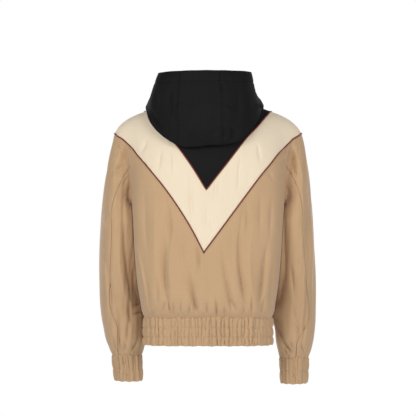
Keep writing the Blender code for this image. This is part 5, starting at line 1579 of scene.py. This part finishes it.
def hood_point(turn, v):
    """The hood's surface, read between the points of a fine grid."""
    turn, v = np.broadcast_arrays(turn, v)
    a = np.clip((turn + 1) / 2 * (len(HOOD_TURNS) - 1), 0, len(HOOD_TURNS) - 1.001)
    b = np.clip(v * (len(HOOD_VS) - 1), 0, len(HOOD_VS) - 1.001)
    i, j = b.astype(int), a.astype(int)
    s, t = (a - j)[..., None], (b - i)[..., None]
    low = HOOD_GRID[i, j] * (1 - s) + HOOD_GRID[i, j + 1] * s
    high = HOOD_GRID[i + 1, j] * (1 - s) + HOOD_GRID[i + 1, j + 1] * s
    return low * (1 - t) + high * t

# %% Two sides and a strip
HOOD_HEM = 0.0315           # depth of the turned hem at the rim
HEM_GROOVE, GROOVE_WIDTH = 0.0022, 0.0014   # what its stitching pulls in
HEM_ROLL, ROLL_WIDTH = 0.0006, 0.011        # and how it rolls out between there and the rim
HOOD_TUCK = 0.0035          # the share of a turn that the strip runs on beneath each side
TUCK_DEPTH = 0.0022         # how far it lies under them


def hood_relief(start, end):
    def relief_of(u, v, grid):
        turn = start + (end - start) * u
        back = ease((v - HOOD_UNDER) / 0.06) * ease((0.56 - np.abs(turn)) / 0.1)
        sunk = relief(HOOD_CREASES, grid[..., 0], grid[..., 2]) * back
        if start < 0 < end:
            beneath = np.maximum(HOOD_SEAMS[0] - turn, turn - HOOD_SEAMS[1])
            sunk = sunk + TUCK_DEPTH * ease(beneath / 0.0015)
        below = lengths(grid[::-1], 0)[::-1]
        groove = HEM_GROOVE * np.exp(-(((below - HOOD_HEM) / GROOVE_WIDTH) ** 2))
        roll = HEM_ROLL * np.exp(-(((below - HOOD_HEM / 2) / ROLL_WIDTH) ** 2))
        return roll - sunk - groove - ripple(grid[..., 0], grid[..., 2]) * ease(v / 0.2)
    return relief_of


for node, start, end, left, right in (
    ("hood_right", -1.0, HOOD_SEAMS[0], HALF_ZIP, OPEN_SEAM),
    ("hood_centre", HOOD_SEAMS[0] - HOOD_TUCK, HOOD_SEAMS[1] + HOOD_TUCK, 0.0, 0.0),
    ("hood_left", HOOD_SEAMS[1], 1.0, OPEN_SEAM, HALF_ZIP),
):
    def smooth(u, v):
        return hood_point(start + (end - start) * u, v)

    sides = "none" if node == "hood_centre" else "plain"
    sew(
        node, smooth, smooth, (0.0, 0.0, left, right), ("none", "none", sides, sides), BLACK, False,
        cell=HOOD_CELL,
        extra=hood_relief(start, end),
    )

# %% [markdown]
# ## Piping
# A cord of about 3 mm, wrapped in red-brown cloth, is caught in each V seam and shows as a thin line.
# It runs from the zip over a shoulder, down and up the back, and to the zip again, as one round tube.

# %% Tubes along the V seams
def faces_out():
    """Turns the faces of the selected piece outwards."""
    bpy.ops.object.mode_set(mode="EDIT")
    bpy.ops.mesh.select_all(action="SELECT")
    bpy.ops.mesh.normals_make_consistent(inside=False)
    bpy.ops.object.mode_set(mode="OBJECT")


def tube(name, line, ways, radius, sides=10):
    """A round cord along a line, closed at both ends."""
    across = unit(np.cross(unit(np.gradient(line, axis=0)), ways))
    up = unit(np.cross(across, unit(np.gradient(line, axis=0))))
    angles = 2 * math.pi * np.arange(sides)[None, :, None] / sides
    rings = line[:, None] + radius * (np.cos(angles) * across[:, None] + np.sin(angles) * up[:, None])
    index = np.arange(len(line) * sides).reshape(-1, sides)
    turned = np.roll(index, -1, axis=1)
    quads = np.stack([index[:-1], index[1:], turned[1:], turned[:-1]], axis=-1).reshape(-1, 4)
    faces = quads.tolist() + [index[0].tolist(), index[-1].tolist()[::-1]]
    corner = np.array([v for face in faces for v in face])
    around = 2 * math.pi * radius * (corner % sides) / sides
    obj = built(name, rings, faces, np.stack([around, lengths(line[:, None], 0)[corner // sides, 0]], axis=-1))
    faces_out()
    bpy.ops.object.shade_smooth_by_angle(angle=SMOOTH_BELOW)
    return obj


ROUND_THE_V = ("front", "right", 1), ("back", "right", -1), ("back", "left", 1), ("front", "left", -1)


def seam_route(make):
    """The whole V seam with its normals, zip to zip."""
    c = np.linspace(0, 1, 121)
    points, ways = [], []
    for face, side, step in ROUND_THE_V:
        line = signed(make(face, side, c), side)[::step][1 if points else 0 :]
        points.append(trunk(face, line[:, 0], line[:, 1]))
        ways.append(trunk_normal(face, line[:, 0], line[:, 1]))
    points, ways = np.vstack(points), np.vstack(ways)
    inside = np.abs(points[:, 0]) > HALF_ZIP
    inside[len(points) // 4 : -len(points) // 4] = True
    return points[inside], ways[inside]


for node, make in (("piping_outer", outer_line), ("piping_inner", inner_line)):
    points, ways = seam_route(make)
    cord = tube(node + "_cord", points + ways * PIPING_PROUD, ways, PIPING_RADIUS)
    wear(cord, PIPING, node)
    print(node, round(float(lengths(points[:, None], 0)[-1, 0]), 3), "m long")

# %% [markdown]
# ## Stitching
# A lockstitch seen from outside is a row of short, plump lengths of thread, each sunk at its ends. One
# stitch is modelled from a sphere, and the rows repeat it along the lines that the panels already have.

# %% A unit that is modelled once and repeated
def model_of(size, bevel=0.0):
    """Stretches the primitive just added, bevels it if asked, and gives its points and faces."""
    obj = bpy.context.object
    bpy.ops.object.mode_set(mode="EDIT")
    bpy.ops.mesh.select_all(action="SELECT")
    bpy.ops.transform.resize(value=size, center_override=(0, 0, 0))
    if bevel:
        bpy.ops.mesh.bevel(offset=bevel, segments=1)
    bpy.ops.object.mode_set(mode="OBJECT")
    points = np.array([v.co[:] for v in obj.data.vertices])
    faces = []
    for polygon in obj.data.polygons:
        ring = list(polygon.vertices)
        first = ring.index(min(ring))
        faces.append(ring[first:] + ring[:first])
    bpy.data.objects.remove(obj, do_unlink=True)
    return points, sorted(faces)    # sorted, because a primitive's faces come in another order on each run


def repeat(name, model, centres, *axes):
    """One piece out of copies of a model, each at its centre and turned to its own three axes."""
    shape, faces = model
    points = centres[:, None] + sum(shape[None, :, k : k + 1] * axis[:, None] for k, axis in enumerate(axes))
    return built(name, points, [[v + len(shape) * k for v in f] for k in range(len(centres)) for f in faces])

# %% One stitch, and rows of it
STITCH, STITCH_GAP, THREAD = 0.0026, 0.0007, 0.00028    # its length, the gap after it, half its thickness
STITCH_LIFT = 0.0001
bpy.ops.object.select_all(action="DESELECT")
bpy.ops.mesh.primitive_uv_sphere_add(segments=5, ring_count=4, radius=1.0)
STITCH_MODEL = model_of((THREAD, THREAD, STITCH / 2))
ROWS = {colour: [] for colour in THREADS}
print("one stitch:", len(STITCH_MODEL[1]), "faces")


def stitch_row(colour, line, ways):
    """Remembers a row of stitches along a line, lying on the cloth."""
    run = lengths(line[:, None], 0)[:, 0]
    count = int(run[-1] / (STITCH + STITCH_GAP))
    if count < 2:
        return
    mids = (np.arange(count) + 0.5) * run[-1] / count
    way = unit(at_lengths(line, run, mids + 0.0008) - at_lengths(line, run, mids - 0.0008))
    up = unit(at_lengths(ways, run, mids))
    ROWS[colour].append((at_lengths(line, run, mids) + up * STITCH_LIFT, way, up))


def colour_of(node):
    return "black" if node.startswith(("yoke", "hood")) else "cream" if node.startswith("band") else "beige"

# %% Rows along the seams
for node, edges in (
    ("body_back", ("high",)), ("band_back", ("low", "high")), ("yoke_back", ("low",)),
    ("front_left", ("high", "left")), ("front_right", ("high", "left")),
    ("band_front_left", ("low", "high", "left")), ("band_front_right", ("low", "high", "left")),
    ("yoke_front_left", ("low", "left")), ("yoke_front_right", ("low", "left")),
    ("hood_left", ("left",)), ("hood_right", ("right",)),
    ("sleeve_under_left", ("left",)), ("sleeve_under_right", ("left",)),
):
    grid, ways = LAID[node]
    pick = {"low": (STITCH_ROW, slice(None)), "high": (-1 - STITCH_ROW, slice(None)),
            "left": (slice(None), STITCH_ROW), "right": (slice(None), -1 - STITCH_ROW)}
    for edge in edges:
        inner = slice(STITCH_ROW, -STITCH_ROW)
        stitch_row(colour_of(node), grid[pick[edge]][inner], ways[pick[edge]][inner])

# %% Rows through the channels and round the hood's hem
for node, channels in (("hem_band", HEM_CHANNELS), ("cuff_left", CUFF_CHANNELS), ("cuff_right", CUFF_CHANNELS)):
    grid, ways = LAID[node]
    for k in range(1, channels):
        row = round(k * (len(grid) - 1) / channels)
        stitch_row("beige", grid[row], ways[row])
for node in ("hood_right", "hood_centre", "hood_left"):
    grid, ways = LAID[node]
    below = lengths(grid[::-1], 0)[::-1]
    line, line_ways = [], []
    for j in range(grid.shape[1]):
        i = int(np.argmin(np.abs(below[:, j] - HOOD_HEM)))
        a, b = (i, i - 1) if below[i, j] < HOOD_HEM else (i + 1, i)
        t = (HOOD_HEM - below[a, j]) / (below[b, j] - below[a, j])
        line.append(grid[a, j] * (1 - t) + grid[b, j] * t)
        line_ways.append(ways[i, j])
    stitch_row("black", np.array(line), np.array(line_ways))

# %% All the stitches of one thread as one piece
for colour, rows in ROWS.items():
    centre, way, up = (np.vstack([row[k] for row in rows]) for k in range(3))
    across = unit(np.cross(up, way))
    obj = repeat("stitching_" + colour, STITCH_MODEL, centre, across, unit(np.cross(way, across)), way)
    bpy.ops.object.shade_smooth()
    wear(obj, THREADS[colour])
    print(colour, "stitches:", len(centre))

# %% [markdown]
# ## Front zip
# Two woven tapes are sewn behind the front edges, with a row of teeth on each that lock together in
# the middle. The slider sits at the top, and its pull tab hangs from it on a hinge.

# %% Tapes
ZIP_TOP_W = 1.330           # w of the zip's top on the front
TAPE_INNER, TAPE_OUTER, TAPE_DEPTH, TAPE_WALL = 0.0012, 0.0150, 0.0030, 0.0008
TAPE_BEAD = 0.0004          # the corded edge that carries the teeth
FRONT_ROUND = 1.05          # twice the radius of the front across, beside the zip
FOOT_POINTS, FOOT_SHORT = 23, 0.0005        # points beside the hem band, and how far the zip ends over it

w = np.linspace(ZIP_TOP_W, 0.0, 160)
middle_line = smooth_trunk("front", 0 * w, w)
middle_ways = trunk_normal("front", 0 * w, w)
foot = np.linspace(0, 1, FOOT_POINTS + 1)[1:, None] * np.array([0, 0, HEM_BOTTOM - HEM_SEAM + FOOT_SHORT])
middle_line = np.vstack([middle_line, middle_line[-1] + foot])
middle_ways = np.vstack([middle_ways, np.repeat(middle_ways[-1:], FOOT_POINTS, axis=0)])
shares = np.linspace(0, 1, 9)
x = TAPE_INNER + (TAPE_OUTER - TAPE_INNER) * shares
bead = TAPE_BEAD * np.exp(-(((shares - 0.12) / 0.10) ** 2)) - TAPE_DEPTH
for side in SIGN:
    grid = middle_line[:, None] + middle_ways[:, None] * bead[None, :, None]
    grid = grid + np.stack([SIGN[side] * x, x ** 2 / FRONT_ROUND, 0 * x], axis=-1)[None]
    down = lengths(grid, 0)[:, 4]
    uv = np.stack(np.broadcast_arrays(x[None], -down[:, None]), axis=-1)
    obj = cloth("zip_tape_" + side + "_cloth", grid, uv, side == "right", TAPE_WALL)
    flat = (round(TAPE_OUTER - TAPE_INNER, 4), round(float(down[-1]), 3))
    declare(obj, "zip_tape_" + side, TAPE, flat, None)

# %% Teeth
TOOTH_SIZE, TOOTH_BEVEL, TOOTH_PITCH = (0.0034, 0.0016, 0.0014), 0.0003, 0.0030
TOOTH_X, TOOTH_DEPTH = 0.0009, 0.0022       # from the middle of the zip, and behind the cloth's face
ZIP_END, SLIDER_ROOM = 0.004, 0.001         # bare length at each end, and above and below the slider

bpy.ops.object.select_all(action="DESELECT")
bpy.ops.mesh.primitive_cube_add(size=1.0)
tooth = model_of(TOOTH_SIZE, TOOTH_BEVEL)
run = lengths(middle_line[:, None], 0)[:, 0]
slider_low, slider_high = (corner.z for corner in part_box("zip_slider"))
centres, ways = [], []
for side, start in (("left", ZIP_END), ("right", ZIP_END + TOOTH_PITCH / 2)):
    places = np.arange(start, run[-1] - ZIP_END, TOOTH_PITCH)
    spots = at_lengths(middle_line, run, places)
    free = (spots[:, 2] <= slider_low - SLIDER_ROOM) | (spots[:, 2] >= slider_high + SLIDER_ROOM)
    way = unit(at_lengths(middle_ways, run, places))[free]
    centres.append(spots[free] - way * TOOTH_DEPTH + np.array([SIGN[side] * TOOTH_X, 0, 0]))
    ways.append(way)
centres, ways = np.vstack(centres), np.vstack(ways)
sideways = np.broadcast_to(np.array([1.0, 0.0, 0.0]), ways.shape)
teeth = repeat("zip_teeth", tooth, centres, sideways, ways, unit(np.cross(sideways, ways)))
faces_out()
wear(teeth, METAL)
for node in ("zip_slider", "zip_pull"):
    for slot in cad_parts[node].material_slots:
        slot.material = METAL
print("teeth:", len(centres))

# %% [markdown]
# ## Floor finish and triangle count
# The floor is plain and pale. The triangles of all the shown pieces are counted.

# %% Floor finish and triangle count
look, tree, shader = finish("pale floor", 0.9)
two_tones(tree, noise_at(tree, 3.0).outputs["Fac"], shader, (0.84, 0.84, 0.83), (0.88, 0.88, 0.87))
floor.data.materials.append(look)

shown = [o.data for o in bpy.data.objects if o.type == "MESH" and not o.hide_render]
total = sum(len(face.vertices) - 2 for mesh in shown for face in mesh.polygons)
print("triangles in all:", total)
